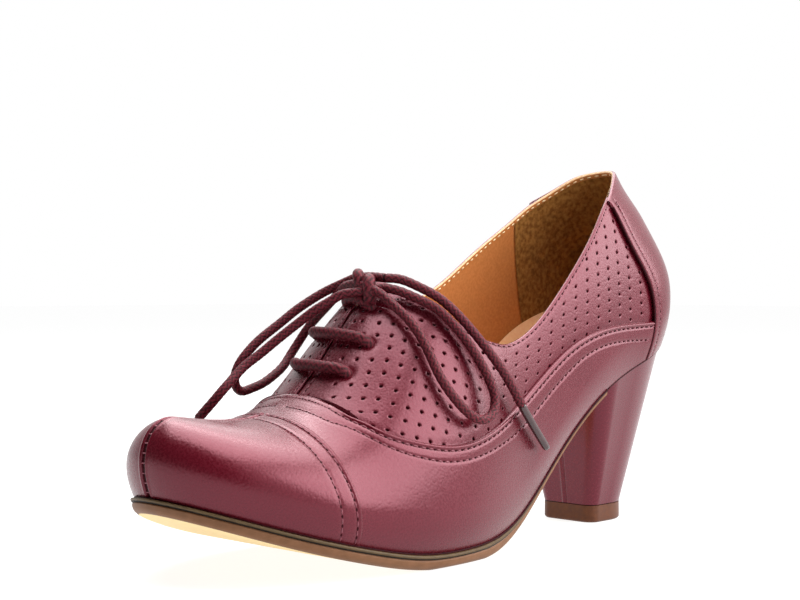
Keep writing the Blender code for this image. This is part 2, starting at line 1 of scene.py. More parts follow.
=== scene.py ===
# %% [markdown]
# # A burgundy lace-up pump, dressed piece by piece
# The solids of the shoe are already packed. Each step below makes one piece of the real shoe over the
# same last, gives it its finish, and prints what it made. Sizes are millimetres on the last.

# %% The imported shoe
import math

import bmesh
import bpy
import numpy as np
from mathutils import Matrix, Vector, kdtree


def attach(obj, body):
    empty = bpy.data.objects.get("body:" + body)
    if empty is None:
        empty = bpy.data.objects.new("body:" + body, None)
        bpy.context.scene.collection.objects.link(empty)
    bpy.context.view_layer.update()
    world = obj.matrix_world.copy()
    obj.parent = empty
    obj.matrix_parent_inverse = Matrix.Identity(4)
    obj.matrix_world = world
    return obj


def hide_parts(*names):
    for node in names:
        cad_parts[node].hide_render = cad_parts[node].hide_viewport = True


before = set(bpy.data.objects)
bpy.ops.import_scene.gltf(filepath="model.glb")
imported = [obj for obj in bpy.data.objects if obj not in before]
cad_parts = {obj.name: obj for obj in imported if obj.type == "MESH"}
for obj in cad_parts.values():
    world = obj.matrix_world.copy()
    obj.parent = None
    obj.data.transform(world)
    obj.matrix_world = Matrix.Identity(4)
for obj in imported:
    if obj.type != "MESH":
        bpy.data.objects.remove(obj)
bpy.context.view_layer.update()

# %% [markdown]
# ## The last
# A shoe takes its form from the last it is pulled over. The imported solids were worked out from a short
# table of sections, so the same table and the same rules are used here: every sheet of leather then lies
# exactly where its solid is. Modelling each panel freely would be quicker, but the layers would drift.

# %% Sections of the last
MM = 0.001
ORIGIN = (113.35, 2.43)     # place on the last that stands over the origin
# Place along the foot, feather edge, ridge, half width on the outer and inner side, roundness of the arch
SECTIONS = (
    (0, 67.4, 141.0, 28.0, 28.0, 2.4),
    (25, 58.9, 141.0, 25.4, 25.4, 2.4),
    (50, 48.8, 140.0, 27.0, 26.6, 2.3),
    (75, 31.4, 133.0, 29.0, 26.5, 2.2),
    (100, 12.2, 119.0, 33.2, 28.0, 2.1),
    (115, 6.6, 109.2, 37.2, 31.0, 2.1),
    (135, 4.7, 94.2, 41.6, 35.5, 2.0),
    (155, 5.3, 75.0, 42.6, 37.6, 2.0),
    (175, 8.9, 53.3, 41.4, 38.0, 2.1),
    (200, 15.5, 46.1, 38.4, 36.8, 2.4),
    (231, 26.2, 50.2, 36.1, 36.1, 2.6),
)
BACK_LINE = ((0, -1.8), (9.8, -4.0), (22.8, -4.6), (37.8, 1.2), (52.8, 9.2), (65.8, 15.0))
HEEL_ROUND = 29.0           # length over which the back rounds off
TOE_ROUND = 50.0            # length over which the toe rounds off
TOE_TIP = 231.8             # foremost place
TOE_TIP_SHARE = 0.39        # share of the section's height at which it lies
TOE_ROLL_OVER = 11.8        # how far the toe's top lies behind its tip
TOE_ROLL_UNDER = 2.3        # how far its bottom does
TUCK = 0.10                 # how much the last draws in at its feather edge
TUCK_HEIGHT = 14.0          # height over which it does
print("last:", len(SECTIONS), "sections from", SECTIONS[0][0], "to", SECTIONS[-1][0], "mm")


# %% Smooth curves through the sections
def spline(rows):
    """Natural cubic curve through rows of (place, value), straight beyond its ends"""
    place, value = np.array(rows, float).T
    count = len(place)
    step = np.diff(place)
    matrix = np.eye(count)
    right = np.zeros(count)
    for i in range(1, count - 1):
        matrix[i, i - 1:i + 2] = step[i - 1], 2 * (step[i - 1] + step[i]), step[i]
        right[i] = 6 * ((value[i + 1] - value[i]) / step[i] - (value[i] - value[i - 1]) / step[i - 1])
    bend = np.linalg.solve(matrix, right)
    slope_start = (value[1] - value[0]) / step[0] - step[0] * bend[1] / 6
    slope_end = (value[-1] - value[-2]) / step[-1] + step[-1] * bend[-2] / 6

    def curve(x):
        x = np.asarray(x, float)
        i = np.clip(np.searchsorted(place, x) - 1, 0, count - 2)
        before = x - place[i]
        after = place[i + 1] - x
        inside = (bend[i] * after ** 3 + bend[i + 1] * before ** 3) / (6 * step[i])
        inside = inside + (value[i] / step[i] - bend[i] * step[i] / 6) * after
        inside = inside + (value[i + 1] / step[i] - bend[i + 1] * step[i] / 6) * before
        low = value[0] + slope_start * (x - place[0])
        high = value[-1] + slope_end * (x - place[-1])
        return np.where(x < place[0], low, np.where(x > place[-1], high, inside))

    return curve


ALONG, FEATHER, RIDGE, OUTER_HALF, INNER_HALF, ARCH = zip(*SECTIONS)
feather = spline(list(zip(ALONG, FEATHER)))
ridge = spline(list(zip(ALONG, RIDGE)))
outer_half = spline(list(zip(ALONG, OUTER_HALF)))
inner_half = spline(list(zip(ALONG, INNER_HALF)))
arch = spline(list(zip(ALONG, ARCH)))
back_line = spline(BACK_LINE)
BALL = 135.0        # widest place of the foot
print("width at the ball:", round(float(outer_half(BALL) + inner_half(BALL)), 1), "mm")

# %% Places on the last
PASSES = 8          # rounds that settle a place which depends on itself


def toe_line(share):
    """Foremost place along the foot at a share of the section's height"""
    over = np.clip((share - TOE_TIP_SHARE) / (1 - TOE_TIP_SHARE), 0, 1)
    under = np.clip((TOE_TIP_SHARE - share) / TOE_TIP_SHARE, 0, 1)
    return TOE_TIP - TOE_ROLL_OVER * (1 - np.sqrt(1 - over ** 2)) - TOE_ROLL_UNDER * under ** 2


def along(station, share):
    """Place along the foot: stations 0 to 1 round the heel, 1 to 2 the foot, 2 to 3 round the toe"""
    toe = toe_line(share)
    turn_heel = 1 - np.cos(np.clip(station, 0, 1) * math.pi / 2)
    turn_toe = 1 - np.cos(np.clip(3 - station, 0, 1) * math.pi / 2)
    x = station * TOE_TIP / 3
    for _ in range(PASSES):
        back = back_line(share * (ridge(x) - feather(x)))
        foot = back + HEEL_ROUND + (station - 1) * (toe - TOE_ROUND - back - HEEL_ROUND)
        front = toe - TOE_ROUND * turn_toe
        x = np.where(station < 1, back + HEEL_ROUND * turn_heel, np.where(station < 2, foot, front))
    return x


def station_at(x, share):
    """Station of a place along the foot, the inverse of along()"""
    toe = toe_line(share)
    back = back_line(share * (ridge(x) - feather(x)))
    heel = np.arccos(np.clip(1 - (x - back) / HEEL_ROUND, 0, 1)) * 2 / math.pi
    foot = 1 + (x - back - HEEL_ROUND) / (toe - TOE_ROUND - back - HEEL_ROUND)
    front = 3 - np.arccos(np.clip(1 - (toe - x) / TOE_ROUND, 0, 1)) * 2 / math.pi
    return np.where(x < back + HEEL_ROUND, heel, np.where(x < toe - TOE_ROUND, foot, front))


def place(station, share, side):
    """Point of the last; side is +1 for the outer and -1 for the inner side of the foot"""
    station, share = np.broadcast_arrays(np.asarray(station, float), np.asarray(share, float))
    x = along(station, share)
    low = feather(x)
    height = share * (ridge(x) - low)
    power = arch(x)
    half = outer_half(x) if side > 0 else inner_half(x)
    width = half * (1 - share ** power) ** (1 / power)
    width = width * (1 - TUCK * np.clip(1 - height / TUCK_HEIGHT, 0, 1) ** 2)
    width = width * np.sin(np.clip(station, 0, 1) * math.pi / 2)
    width = width * np.sin(np.clip(3 - station, 0, 1) * math.pi / 2)
    return np.stack([x, side * width, low + height], -1)


def normal(station, share, side):
    """Outward direction of the last, from small steps along it and up it"""
    step = 0.002
    station, share = np.broadcast_arrays(np.asarray(station, float), np.asarray(share, float))
    inner = np.clip(station, 2 * step, 3 - 2 * step)
    angle = np.clip(np.arcsin(share), 0, math.pi / 2 - 2 * step)
    forward = place(inner + step, np.sin(angle), side) - place(inner - step, np.sin(angle), side)
    below = np.sin(np.maximum(angle - step, 0))
    upward = place(inner, np.sin(angle + step), side) - place(inner, below, side)
    out = -side * np.cross(forward, upward)
    on_middle = (station <= 0) | (station >= 3) | (share >= 1)
    out[..., 1] = np.where(on_middle, 0, out[..., 1])
    return out / np.linalg.norm(out, axis=-1, keepdims=True)


def lifted(station, share, side, lift):
    """Point of the last moved out by lift; the bottom row stays level with the feather edge"""
    station, share = np.broadcast_arrays(np.asarray(station, float), np.asarray(share, float))
    out = normal(station, share, side)
    bottom = share <= 0
    out[..., 2] = np.where(bottom, 0, out[..., 2])
    out = out / np.linalg.norm(out, axis=-1, keepdims=True)
    point = place(station, share, side) + out * np.asarray(lift)[..., None]
    point[..., 2] = np.where(bottom, feather(point[..., 0]), point[..., 2])
    return point


def to_frame(points):
    """Millimetres on the last to metres in the part's own frame"""
    return (np.asarray(points, float) - (ORIGIN[0], ORIGIN[1], 0)) * MM


print("last: toe at", round(float(place(3.0, TOE_TIP_SHARE, 1)[0]), 1), "mm, heel back at",
      round(float(place(0.0, 0.3, 1)[0]), 1), "mm")

# %% [markdown]
# ## Lines and sheets on the last
# Panels, seams and stitch rows are lines drawn on the last. A line is kept as places along the foot and
# turns up the section, so that it can be set a few millimetres beside another line along the leather.
# A panel starts as a flat grid, and each of its points is then moved to its place on the last.

# %% Lines on the last
def on_last(line, side, lift=0.0):
    """Points on the last along a line of places and turns"""
    share = np.sin(np.clip(line[:, 1], 0, math.pi / 2))
    return lifted(station_at(line[:, 0], share), share, side, np.full(len(line), lift))


def out_of(line, side):
    """Outward directions along a line"""
    share = np.sin(np.clip(line[:, 1], 0, math.pi / 2))
    return normal(station_at(line[:, 0], share), share, side)


def beside(line, side, away):
    """Line at a distance beside another, above it where away is positive"""
    step = 0.01
    base = np.column_stack([line[:, 0], np.clip(line[:, 1], 2 * step, math.pi / 2 - 2 * step)])
    ahead = (on_last(base + (step, 0), side) - on_last(base - (step, 0), side)) / (2 * step)
    upward = (on_last(base + (0, step), side) - on_last(base - (0, step), side)) / (2 * step)
    run = np.gradient(line, axis=0)
    first = (ahead * ahead).sum(1) * run[:, 0] + (ahead * upward).sum(1) * run[:, 1]
    second = (ahead * upward).sum(1) * run[:, 0] + (upward * upward).sum(1) * run[:, 1]
    turned = np.column_stack([-second, first])
    size = np.linalg.norm(turned[:, :1] * ahead + turned[:, 1:] * upward, axis=1)
    return line + turned * (away / size)[:, None]


TURN_LENGTH = 34.0      # rough length of one radian up a section


def even(line, count):
    """The same line with its points evenly apart"""
    steps = np.hypot(np.diff(line[:, 0]), TURN_LENGTH * np.diff(line[:, 1]))
    run = np.concatenate([[0], np.cumsum(steps)])
    reads = np.linspace(0, run[-1], count)
    return np.column_stack([np.interp(reads, run, line[:, axis]) for axis in (0, 1)])


def distance(points, line):
    """Distance of each point from a line through points"""
    run = np.diff(line, axis=0)
    nearest = np.full(len(points), np.inf)
    for start, step in zip(line[:-1], run):
        offset = points - start
        part = np.clip(offset @ step / (step @ step), 0, 1)
        nearest = np.minimum(nearest, np.linalg.norm(offset - part[:, None] * step, axis=1))
    return nearest


def trough(away, depth, width):
    """Soft dip in the leather at a distance from its middle"""
    return -depth * np.exp(-(away / width) ** 2)


def edge_drop(away, drop, round_off):
    """How far a rounded edge falls away towards a panel's rim"""
    inside = np.clip(1 - away / round_off, 0, 1)
    return -drop * (1 - np.sqrt(1 - inside ** 2))


ball_turns = np.linspace(0, math.pi / 2, 60)
ball_girth = on_last(np.column_stack([np.full(60, BALL), ball_turns]), 1)
ball_girth = np.linalg.norm(np.diff(ball_girth, axis=0), axis=1).sum()
print("outer half of the girth at the ball:", round(float(ball_girth), 1), "mm")


# %% Sheets on the last
def sheet(work, columns, rows, shape, flip, finish_at=None):
    """Grid whose points go to shape(across, up)

    flip turns its faces over, and finish_at(up) gives each face the number of its finish.
    """
    made = bmesh.ops.create_grid(work, x_segments=columns, y_segments=rows, size=0.5)["verts"]
    faces = list(dict.fromkeys(face for vert in made for face in vert.link_faces))
    if finish_at:
        for face in faces:
            face.material_index = finish_at(face.calc_center_median().y + 0.5)
    flat = np.array([vert.co for vert in made]) + 0.5
    for vert, point in zip(made, to_frame(shape(flat[:, 0], flat[:, 1]))):
        vert.co = point
    if flip:
        bmesh.ops.reverse_faces(work, faces=faces)
    return made


HALVINGS = 40


def edge_share(column, beyond, count):
    """Share of the height at which each column reaches the panel's edge, 1 if it never does"""
    low = np.zeros(count)
    high = np.ones(count)
    for _ in range(HALVINGS):
        middle = (low + high) / 2
        over = beyond(column(middle), middle)
        high = np.where(over, middle, high)
        low = np.where(over, low, middle)
    return np.where(high >= 1, 1.0, low)


# %% Panels with a folded edge
FLAT = 0.86         # part of a folded panel's rows that lie on its face
FOLD_TURN = 1.75    # angle by which a folded edge turns over, in radians
READS = 121         # points that measure a column's length
TINY = 1e-9
DIGITS = 6          # columns that agree to so many digits are one


def panel(across, up, side, column, beyond, face, low=None, fold=None, turn=FOLD_TURN, inward=False):
    """Points of a panel whose rows are even along the leather

    Columns run from the edge where low() starts, or from the feather edge, to the one where beyond() does.
    Where a fold's radius is given, the top edge turns over by an angle, outwards or inwards.
    """
    spread, back = np.unique(np.round(across, DIGITS), return_inverse=True)
    flat = FLAT if fold is not None else 1.0

    def stations(share):
        return station_at(column(spread, share), share)

    top = edge_share(stations, beyond, len(spread))
    bottom = np.zeros(len(spread)) if low is None else edge_share(stations, low, len(spread))
    bottom = np.minimum(bottom, top)
    steps = np.linspace(0, 1, READS)[:, None]
    shares = np.sin(np.arcsin(bottom) + steps * (np.arcsin(top) - np.arcsin(bottom)))
    points = place(np.array([stations(row) for row in shares]), shares, side)
    lengths = np.linalg.norm(np.diff(points, axis=0), axis=2)
    run = np.vstack([np.zeros(len(spread)), np.cumsum(lengths, axis=0)])
    run = run / np.maximum(run[-1], TINY)
    share = np.empty(len(across))
    for i in range(len(spread)):
        mine = back == i
        share[mine] = np.interp(np.minimum(up[mine] / flat, 1), run[:, i], shares[:, i])
    station = station_at(column(np.round(across, DIGITS), share), share)
    made = lifted(station, share, side, face(place(station, share, side)))
    if fold is None:
        return made
    edge = lifted(stations(top), top, side, face(place(stations(top), top, side)))
    out = normal(stations(top), top, side)
    away = side * np.cross(np.gradient(edge, axis=0), out)
    away = away / np.linalg.norm(away, axis=1, keepdims=True)
    out = -out if inward else out
    radius = np.broadcast_to(fold, len(spread))[back][:, None]
    angle = (np.clip((up - flat) / (1 - flat), 0, 1) * turn)[:, None]
    rolled = edge[back] + radius * ((np.cos(angle) - 1) * out[back] + np.sin(angle) * away[back])
    return np.where((up > flat)[:, None], rolled, made)


# %% From a bmesh to a piece of the shoe
MERGE = 1e-6        # metres: points closer than this are one


def piece(name, work, finishes, slot, *replaced):
    """Object from a bmesh, riding on the shoe's one body in the place of the solids it stands for"""
    bmesh.ops.remove_doubles(work, verts=work.verts[:], dist=MERGE)
    mesh = bpy.data.meshes.new(name)
    work.to_mesh(mesh)
    work.free()
    mesh.shade_smooth()
    for finish in finishes:
        mesh.materials.append(finish)
    made = bpy.data.objects.new(name, mesh)
    bpy.context.scene.collection.objects.link(made)
    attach(made, "root")
    if replaced:
        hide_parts(*replaced)
    print(name, len(mesh.polygons), "faces")
    return made


def halves(make_half, name, finishes, slot, *replaced):
    """Piece from an outer and an inner half, which make_half(work, side) adds to one bmesh"""
    work = bmesh.new()
    for side in (1, -1):
        make_half(work, side)
    return piece(name, work, finishes, slot, *replaced)


def smoothed(made):
    """Piece with one level of subdivision"""
    smooth = made.modifiers.new("subdivision", "SUBSURF")
    smooth.levels = 1
    smooth.render_levels = 1
    return made


# %% [markdown]
# ## Camera
# The photo was taken almost level, from in front of the outer side. A camera could be turned by hand
# until the view looks right, but here its lens and place were fitted to the outline of the sole, the
# heel and the collar, so that each render can be laid over the photo and compared point by point.

# %% Camera
CAMERA_PLACE = (498.65, 374.43, 86.35)
CAMERA_YAW = -2.350716      # radians
CAMERA_PITCH = 0.0080114    # radians, looking down
LENS_PIXELS = 1584.7        # focal length in pixels of the image
IMAGE_WIDTH = 800
SENSOR = 36.0
camera = bpy.data.objects.new("camera", bpy.data.cameras.new("camera"))
bpy.context.scene.collection.objects.link(camera)
camera.data.sensor_width = SENSOR
camera.data.sensor_fit = "HORIZONTAL"
camera.data.lens = LENS_PIXELS / IMAGE_WIDTH * camera.data.sensor_width
camera.location = to_frame(CAMERA_PLACE)
looking = Vector((math.cos(CAMERA_YAW) * math.cos(CAMERA_PITCH),
                  math.sin(CAMERA_YAW) * math.cos(CAMERA_PITCH), -math.sin(CAMERA_PITCH)))
camera.rotation_euler = looking.to_track_quat("-Z", "Y").to_euler()
bpy.context.scene.camera = camera
print("camera lens", round(camera.data.lens, 2), "mm")

# %% [markdown]
# ## Finishes
# A finish is named for its real material and how it was made. Pictures of leather could be wrapped round
# the shoe, but patterns worked out from real sizes stay sharp from close by and need no picture. Colours
# are written as they look on a screen and turned to linear light by one function, and one function adds
# every node.

# %% Nodes and colours
def linear(code):
    """Linear colour of an sRGB hex value"""
    parts = [int(code[i:i + 2], 16) / 255 for i in (1, 3, 5)]
    return tuple(c / 12.92 if c <= 0.04045 else ((c + 0.055) / 1.055) ** 2.4 for c in parts) + (1.0,)


def node(tree, kind, inputs=None, **settings):
    """New shader node with its settings, and inputs that are values or other nodes' outputs"""
    made = tree.nodes.new("ShaderNode" + kind)
    for name, value in settings.items():
        setattr(made, name, value)
    for socket, value in (inputs or {}).items():
        if isinstance(value, bpy.types.NodeSocket):
            tree.links.new(value, made.inputs[socket])
        else:
            made.inputs[socket].default_value = value
    return made


def finish_tree(name):
    """New material: its node tree, its shader and its Object coordinates"""
    made = bpy.data.materials.new(name)
    made.use_nodes = True
    tree = made.node_tree
    spot = node(tree, "TexCoord").outputs["Object"]
    return made, tree, tree.nodes["Principled BSDF"], spot


def per_mm(size):
    """Texture scale for a pattern of a size in millimetres"""
    return 1 / (size * MM)


print("one millimetre is a scale of", per_mm(1.0))

# %% Two kinds of finish
CLOUD_SIZE = 30.0       # uneven dye
FLECK_SIZE = 0.7        # pores, drawn coarser than they are so that they show
GRAIN_HEIGHT = 0.06
LEATHER_SHINE = 0.85
SHINE_TINT = "#FFB0BE"  # wax over dyed leather gives back a little of its red
# A Mix node has sockets of one name for numbers and colours, so those for colours go by number
MIX_SHARE, MIX_DARK, MIX_LIGHT, MIX_COLOUR = 0, 6, 7, 2


def leather_finish(name, light, dark, rough, grain, relief):
    """Finished grain leather, dyed, plated smooth and waxed: its pebbling shows in highlights alone"""
    made, tree, shader, spot = finish_tree(name)
    cloud = node(tree, "TexNoise", {"Vector": spot, "Scale": per_mm(CLOUD_SIZE), "Detail": 2.0})
    fleck = node(tree, "TexNoise", {"Vector": spot, "Scale": per_mm(FLECK_SIZE), "Detail": 2.0})
    tint = node(tree, "Math", {0: cloud.outputs["Fac"], 1: 0.7, 2: fleck.outputs["Fac"]},
                operation="MULTIPLY_ADD")
    share = node(tree, "MapRange", {"Value": tint.outputs[0], "From Min": 0.5, "From Max": 1.2})
    colour = node(tree, "Mix", {MIX_SHARE: share.outputs[0], MIX_DARK: linear(dark),
                                MIX_LIGHT: linear(light)}, data_type="RGBA")
    tree.links.new(colour.outputs[MIX_COLOUR], shader.inputs["Base Color"])
    gloss = node(tree, "MapRange", {"Value": fleck.outputs["Fac"], "From Min": 0.3, "From Max": 0.7,
                                    "To Min": rough - 0.06, "To Max": rough + 0.08})
    tree.links.new(gloss.outputs[0], shader.inputs["Roughness"])
    pebble = node(tree, "TexVoronoi", {"Vector": spot, "Scale": per_mm(grain)}).outputs["Distance"]
    dome = node(tree, "Math", {0: pebble, 1: pebble}, operation="MULTIPLY").outputs[0]
    height = node(tree, "Math", {0: dome, 1: -1.0, 2: fleck.outputs["Fac"]}, operation="MULTIPLY_ADD")
    bump = node(tree, "Bump", {"Height": height.outputs[0], "Strength": relief,
                               "Distance": GRAIN_HEIGHT * MM})
    tree.links.new(bump.outputs[0], shader.inputs["Normal"])
    shader.inputs["Specular IOR Level"].default_value = LEATHER_SHINE
    shader.inputs["Specular Tint"].default_value = linear(SHINE_TINT)
    return made


GLOSS_SPREAD = 0.08


def plain_finish(name, light, dark, rough, size, relief=0.03, strength=0.4, shine=0.5):
    """Two close colours in small clouds, with a matching roughness and relief"""
    made, tree, shader, spot = finish_tree(name)
    cloud = node(tree, "TexNoise", {"Vector": spot, "Scale": per_mm(size), "Detail": 4.0})
    share = node(tree, "MapRange", {"Value": cloud.outputs["Fac"], "From Min": 0.35, "From Max": 0.65})
    colour = node(tree, "Mix", {MIX_SHARE: share.outputs[0], MIX_DARK: linear(dark),
                                MIX_LIGHT: linear(light)}, data_type="RGBA")
    tree.links.new(colour.outputs[MIX_COLOUR], shader.inputs["Base Color"])
    gloss = node(tree, "MapRange", {"Value": cloud.outputs["Fac"], "To Min": rough - GLOSS_SPREAD,
                                    "To Max": rough + GLOSS_SPREAD})
    tree.links.new(gloss.outputs[0], shader.inputs["Roughness"])
    bump = node(tree, "Bump", {"Height": cloud.outputs["Fac"], "Strength": strength, "Distance": relief * MM})
    tree.links.new(bump.outputs[0], shader.inputs["Normal"])
    shader.inputs["Specular IOR Level"].default_value = shine
    return made


# %% Finishes of the shoe
# Calf, dyed, plated and waxed: deep red with broad soft highlights
burgundy = leather_finish("burgundy_waxed_calf", "#560A19", "#4A0714", 0.27, 0.8, 0.48)
# The same calf, stretched over the heel block: smoother, with crisper highlights
wrapped = leather_finish("burgundy_stretched_calf", "#520A19", "#480714", 0.24, 0.9, 0.04)
# Painted shade in the punched holes: darker than the calf, without shine
hole_shade = plain_finish("punched_hole_painted_shade", "#4A0E18", "#36080F", 0.75, 0.6, shine=0.1)
# Painted shade for the seams and joints: a nearly black, dull tube deep in each of them
seam_shade = plain_finish("seam_painted_shade", "#38040C", "#260208", 0.6, 0.9, shine=0.1)
# Polyester, twisted and bonded: lighter than the leather beside it, with a slight shine
thread = plain_finish("burgundy_bonded_polyester", "#8A4450", "#6C303C", 0.45, 0.4)
# Painted shade of the needle holes: a dull dark spot on the calf
needle_shade = plain_finish("needle_hole_painted_shade", "#3A0810", "#26040A", 0.8, 0.5, shine=0.1)
# Polyester, twisted: cream and nearly dull
cream_thread = plain_finish("cream_twisted_polyester", "#F4E3BA", "#E0C792", 0.55, 0.4)
# Lining leather, skived and painted at its edge: a pale smooth line
edge_paint = plain_finish("cream_painted_edge", "#E8C49A", "#DCB07E", 0.5, 1.2)
# Pigskin, dyed and glazed: even tan with a faint shine
tan_lining = plain_finish("tan_glazed_pigskin", "#BC7840", "#AE6C36", 0.62, 1.0, shine=0.3)
# Split leather, brushed to suede: soft brown clouds without shine
suede = plain_finish("brown_split_suede", "#9A6C34", "#6E4416", 0.95, 1.6, relief=0.10, strength=0.6,
                     shine=0.2)
# Sheepskin, dyed and pressed: pale, soft and smooth
sock = plain_finish("tan_pressed_sheepskin", "#FFD9AE", "#FACC9C", 0.6, 1.2)
# Thermoplastic, moulded: olive and satin
lip_finish = plain_finish("olive_moulded_tpu", "#5E4A2E", "#503E26", 0.5, 2.0, shine=0.25)
# Painted shade in the sole's groove: the moulded thermoplastic drawn dark and dull
groove_shade_finish = plain_finish("groove_painted_shade", "#2C2018", "#221810", 0.7, 1.0)
# Thermoplastic, moulded: brown and satin
sole_edge_finish = plain_finish("brown_moulded_tpu", "#7C5438", "#704A2E", 0.5, 3.0, shine=0.25)
# Thermoplastic, moulded: cream and dull
sole_face_finish = plain_finish("cream_moulded_tpu", "#F8DCA0", "#F2D294", 0.6, 2.0)
# Hard rubber, moulded: dark brown and satin
tip_finish = plain_finish("brown_moulded_rubber", "#5E3218", "#522A13", 0.42, 1.6, shine=0.3)
print("finishes:", len(bpy.data.materials))


# %% Finishes of the lace
def lace_finish():
    """Waxed cotton, braided round, with a dull wax shine: painted shade darkens the hollows between the yarns
    """
    made, tree, shader, spot = finish_tree("burgundy_waxed_cotton_braid")
    crown = node(tree, "Attribute", attribute_name="crown").outputs["Fac"]
    fibre = node(tree, "TexNoise", {"Vector": spot, "Scale": per_mm(0.35), "Detail": 3.0})
    # Painted shade: the colour goes dark where the yarns' crowns are low
    raised = node(tree, "Math", {0: crown, 1: fibre.outputs["Fac"]}, operation="MULTIPLY")
    share = node(tree, "MapRange", {"Value": raised.outputs[0], "From Min": 0.12, "From Max": 0.58})
    colour = node(tree, "Mix", {MIX_SHARE: share.outputs[0], MIX_DARK: linear("#26070C"),
                                MIX_LIGHT: linear("#782834")}, data_type="RGBA")
    tree.links.new(colour.outputs[MIX_COLOUR], shader.inputs["Base Color"])
    bump = node(tree, "Bump", {"Height": fibre.outputs["Fac"], "Strength": 0.5, "Distance": 0.05 * MM})
    tree.links.new(bump.outputs[0], shader.inputs["Normal"])
    shader.inputs["Roughness"].default_value = 0.55
    shader.inputs["Specular IOR Level"].default_value = 0.2
    return made


def aglet_finish():
    """Clear acetate film, rolled and heat-sealed round the lace end: glossy, with the dark lace inside"""
    made, tree, shader, spot = finish_tree("clear_acetate_film")
    cloud = node(tree, "TexNoise", {"Vector": spot, "Scale": per_mm(2.5), "Detail": 2.0})
    colour = node(tree, "Mix", {MIX_SHARE: cloud.outputs["Fac"], MIX_DARK: linear("#2A1013"),
                                MIX_LIGHT: linear("#4E2A2C")}, data_type="RGBA")
    tree.links.new(colour.outputs[MIX_COLOUR], shader.inputs["Base Color"])
    shader.inputs["Roughness"].default_value = 0.18
    shader.inputs["Transmission Weight"].default_value = 0.15
    shader.inputs["Coat Weight"].default_value = 0.5
    shader.inputs["Coat Roughness"].default_value = 0.08
    return made


cotton = lace_finish()
film = aglet_finish()
print("with those of the lace:", len(bpy.data.materials))

# %% [markdown]
# ## The lace
# The lace is one round braid. It crosses the slit in bars between the eyelets and is tied in a bow, with
# two loops and two ends that hang over the leather. A curve with a round bevel would do for a smooth
# cord, but a braid needs relief, so a grid is rolled round the route and raised where one yarn lies over
# another.

# %% Braided cord
LACE_DIAMETER = 3.0
YARNS = 6           # yarns in each direction round the braid
YARN_LENGTH = 2.4   # length of one crossing
YARN_RAISE = 0.16   # how far a yarn stands out
YARN_MIDDLE = 0.7   # mean height of the yarns' crowns
BRAID_AROUND = 24
BRAID_STEP = 0.3
ASIDE = (0.3, 0.2, 0.9)     # a direction that no route starts in


def along_route(route, step):
    """Points every step along a smooth curve through a route"""
    route = np.array(route, float)
    length = np.concatenate([[0], np.cumsum(np.linalg.norm(np.diff(route, axis=0), axis=1))])
    reads = np.linspace(0, length[-1], max(3, int(length[-1] / step) + 1))
    return np.column_stack([spline(list(zip(length, route[:, axis])))(reads) for axis in range(3)])


def frames(points):
    """Directions along, and two across, without twist, at each point of a route"""
    ahead = np.gradient(points, axis=0)
    ahead = ahead / np.linalg.norm(ahead, axis=1, keepdims=True)
    across = np.empty_like(points)
    first = np.cross(ahead[0], ASIDE)
    for i, way in enumerate(ahead):
        first = first - way * (first @ way)
        first = first / np.linalg.norm(first)
        across[i] = first
    return ahead, across, np.cross(ahead, across)


def tube(work, points, radius, around=16, braid=False):
    """Round cord along points in millimetres, its ends closed"""
    ahead, across, over = frames(points)
    length = np.concatenate([[0], np.cumsum(np.linalg.norm(np.diff(points, axis=0), axis=1))])
    radius = np.broadcast_to(radius, len(points))
    crowns = work.verts.layers.float.get("crown") or work.verts.layers.float.new("crown")
    made = bmesh.ops.create_grid(work, x_segments=around, y_segments=len(points) - 1, size=0.5)["verts"]
    flat = np.array([vert.co for vert in made]) + 0.5
    row = np.round(flat[:, 1] * (len(points) - 1)).astype(int)
    angle = flat[:, 0] * 2 * math.pi
    turns = YARNS * angle / (2 * math.pi)
    runs = length[row] / YARN_LENGTH
    right, left = turns + runs, turns - runs
    over_right = (np.floor(right) + np.floor(left)) % 2 < 1
    crown = np.where(over_right, np.cos(math.pi * (left % 1 - 0.5)), np.cos(math.pi * (right % 1 - 0.5)))
    wide = radius[row] + (YARN_RAISE * (crown - YARN_MIDDLE) if braid else 0)
    ring = np.cos(angle)[:, None] * across[row] + np.sin(angle)[:, None] * over[row]
    for vert, point, raised in zip(made, to_frame(points[row] + ring * wide[:, None]), crown):
        vert.co = point
        vert[crowns] = raised
    bmesh.ops.remove_doubles(work, verts=made, dist=2 * MERGE)
    edges = [edge for edge in work.edges if edge.is_boundary]
    bmesh.ops.holes_fill(work, edges=edges, sides=0)
    bmesh.ops.recalc_face_normals(work, faces=work.faces[:])


def braided(work, route, diameter):
    """Stretch of braided lace along a route"""
    tube(work, along_route(route, BRAID_STEP), diameter / 2, BRAID_AROUND, braid=True)


def lace(name, route, diameter, *replaced):
    """Piece of one stretch of lace"""
    work = bmesh.new()
    braided(work, route, diameter)
    return piece(name, work, [cotton], "waxed_cotton", *replaced)


print("braid:", 2 * YARNS, "yarns round", LACE_DIAMETER, "mm")
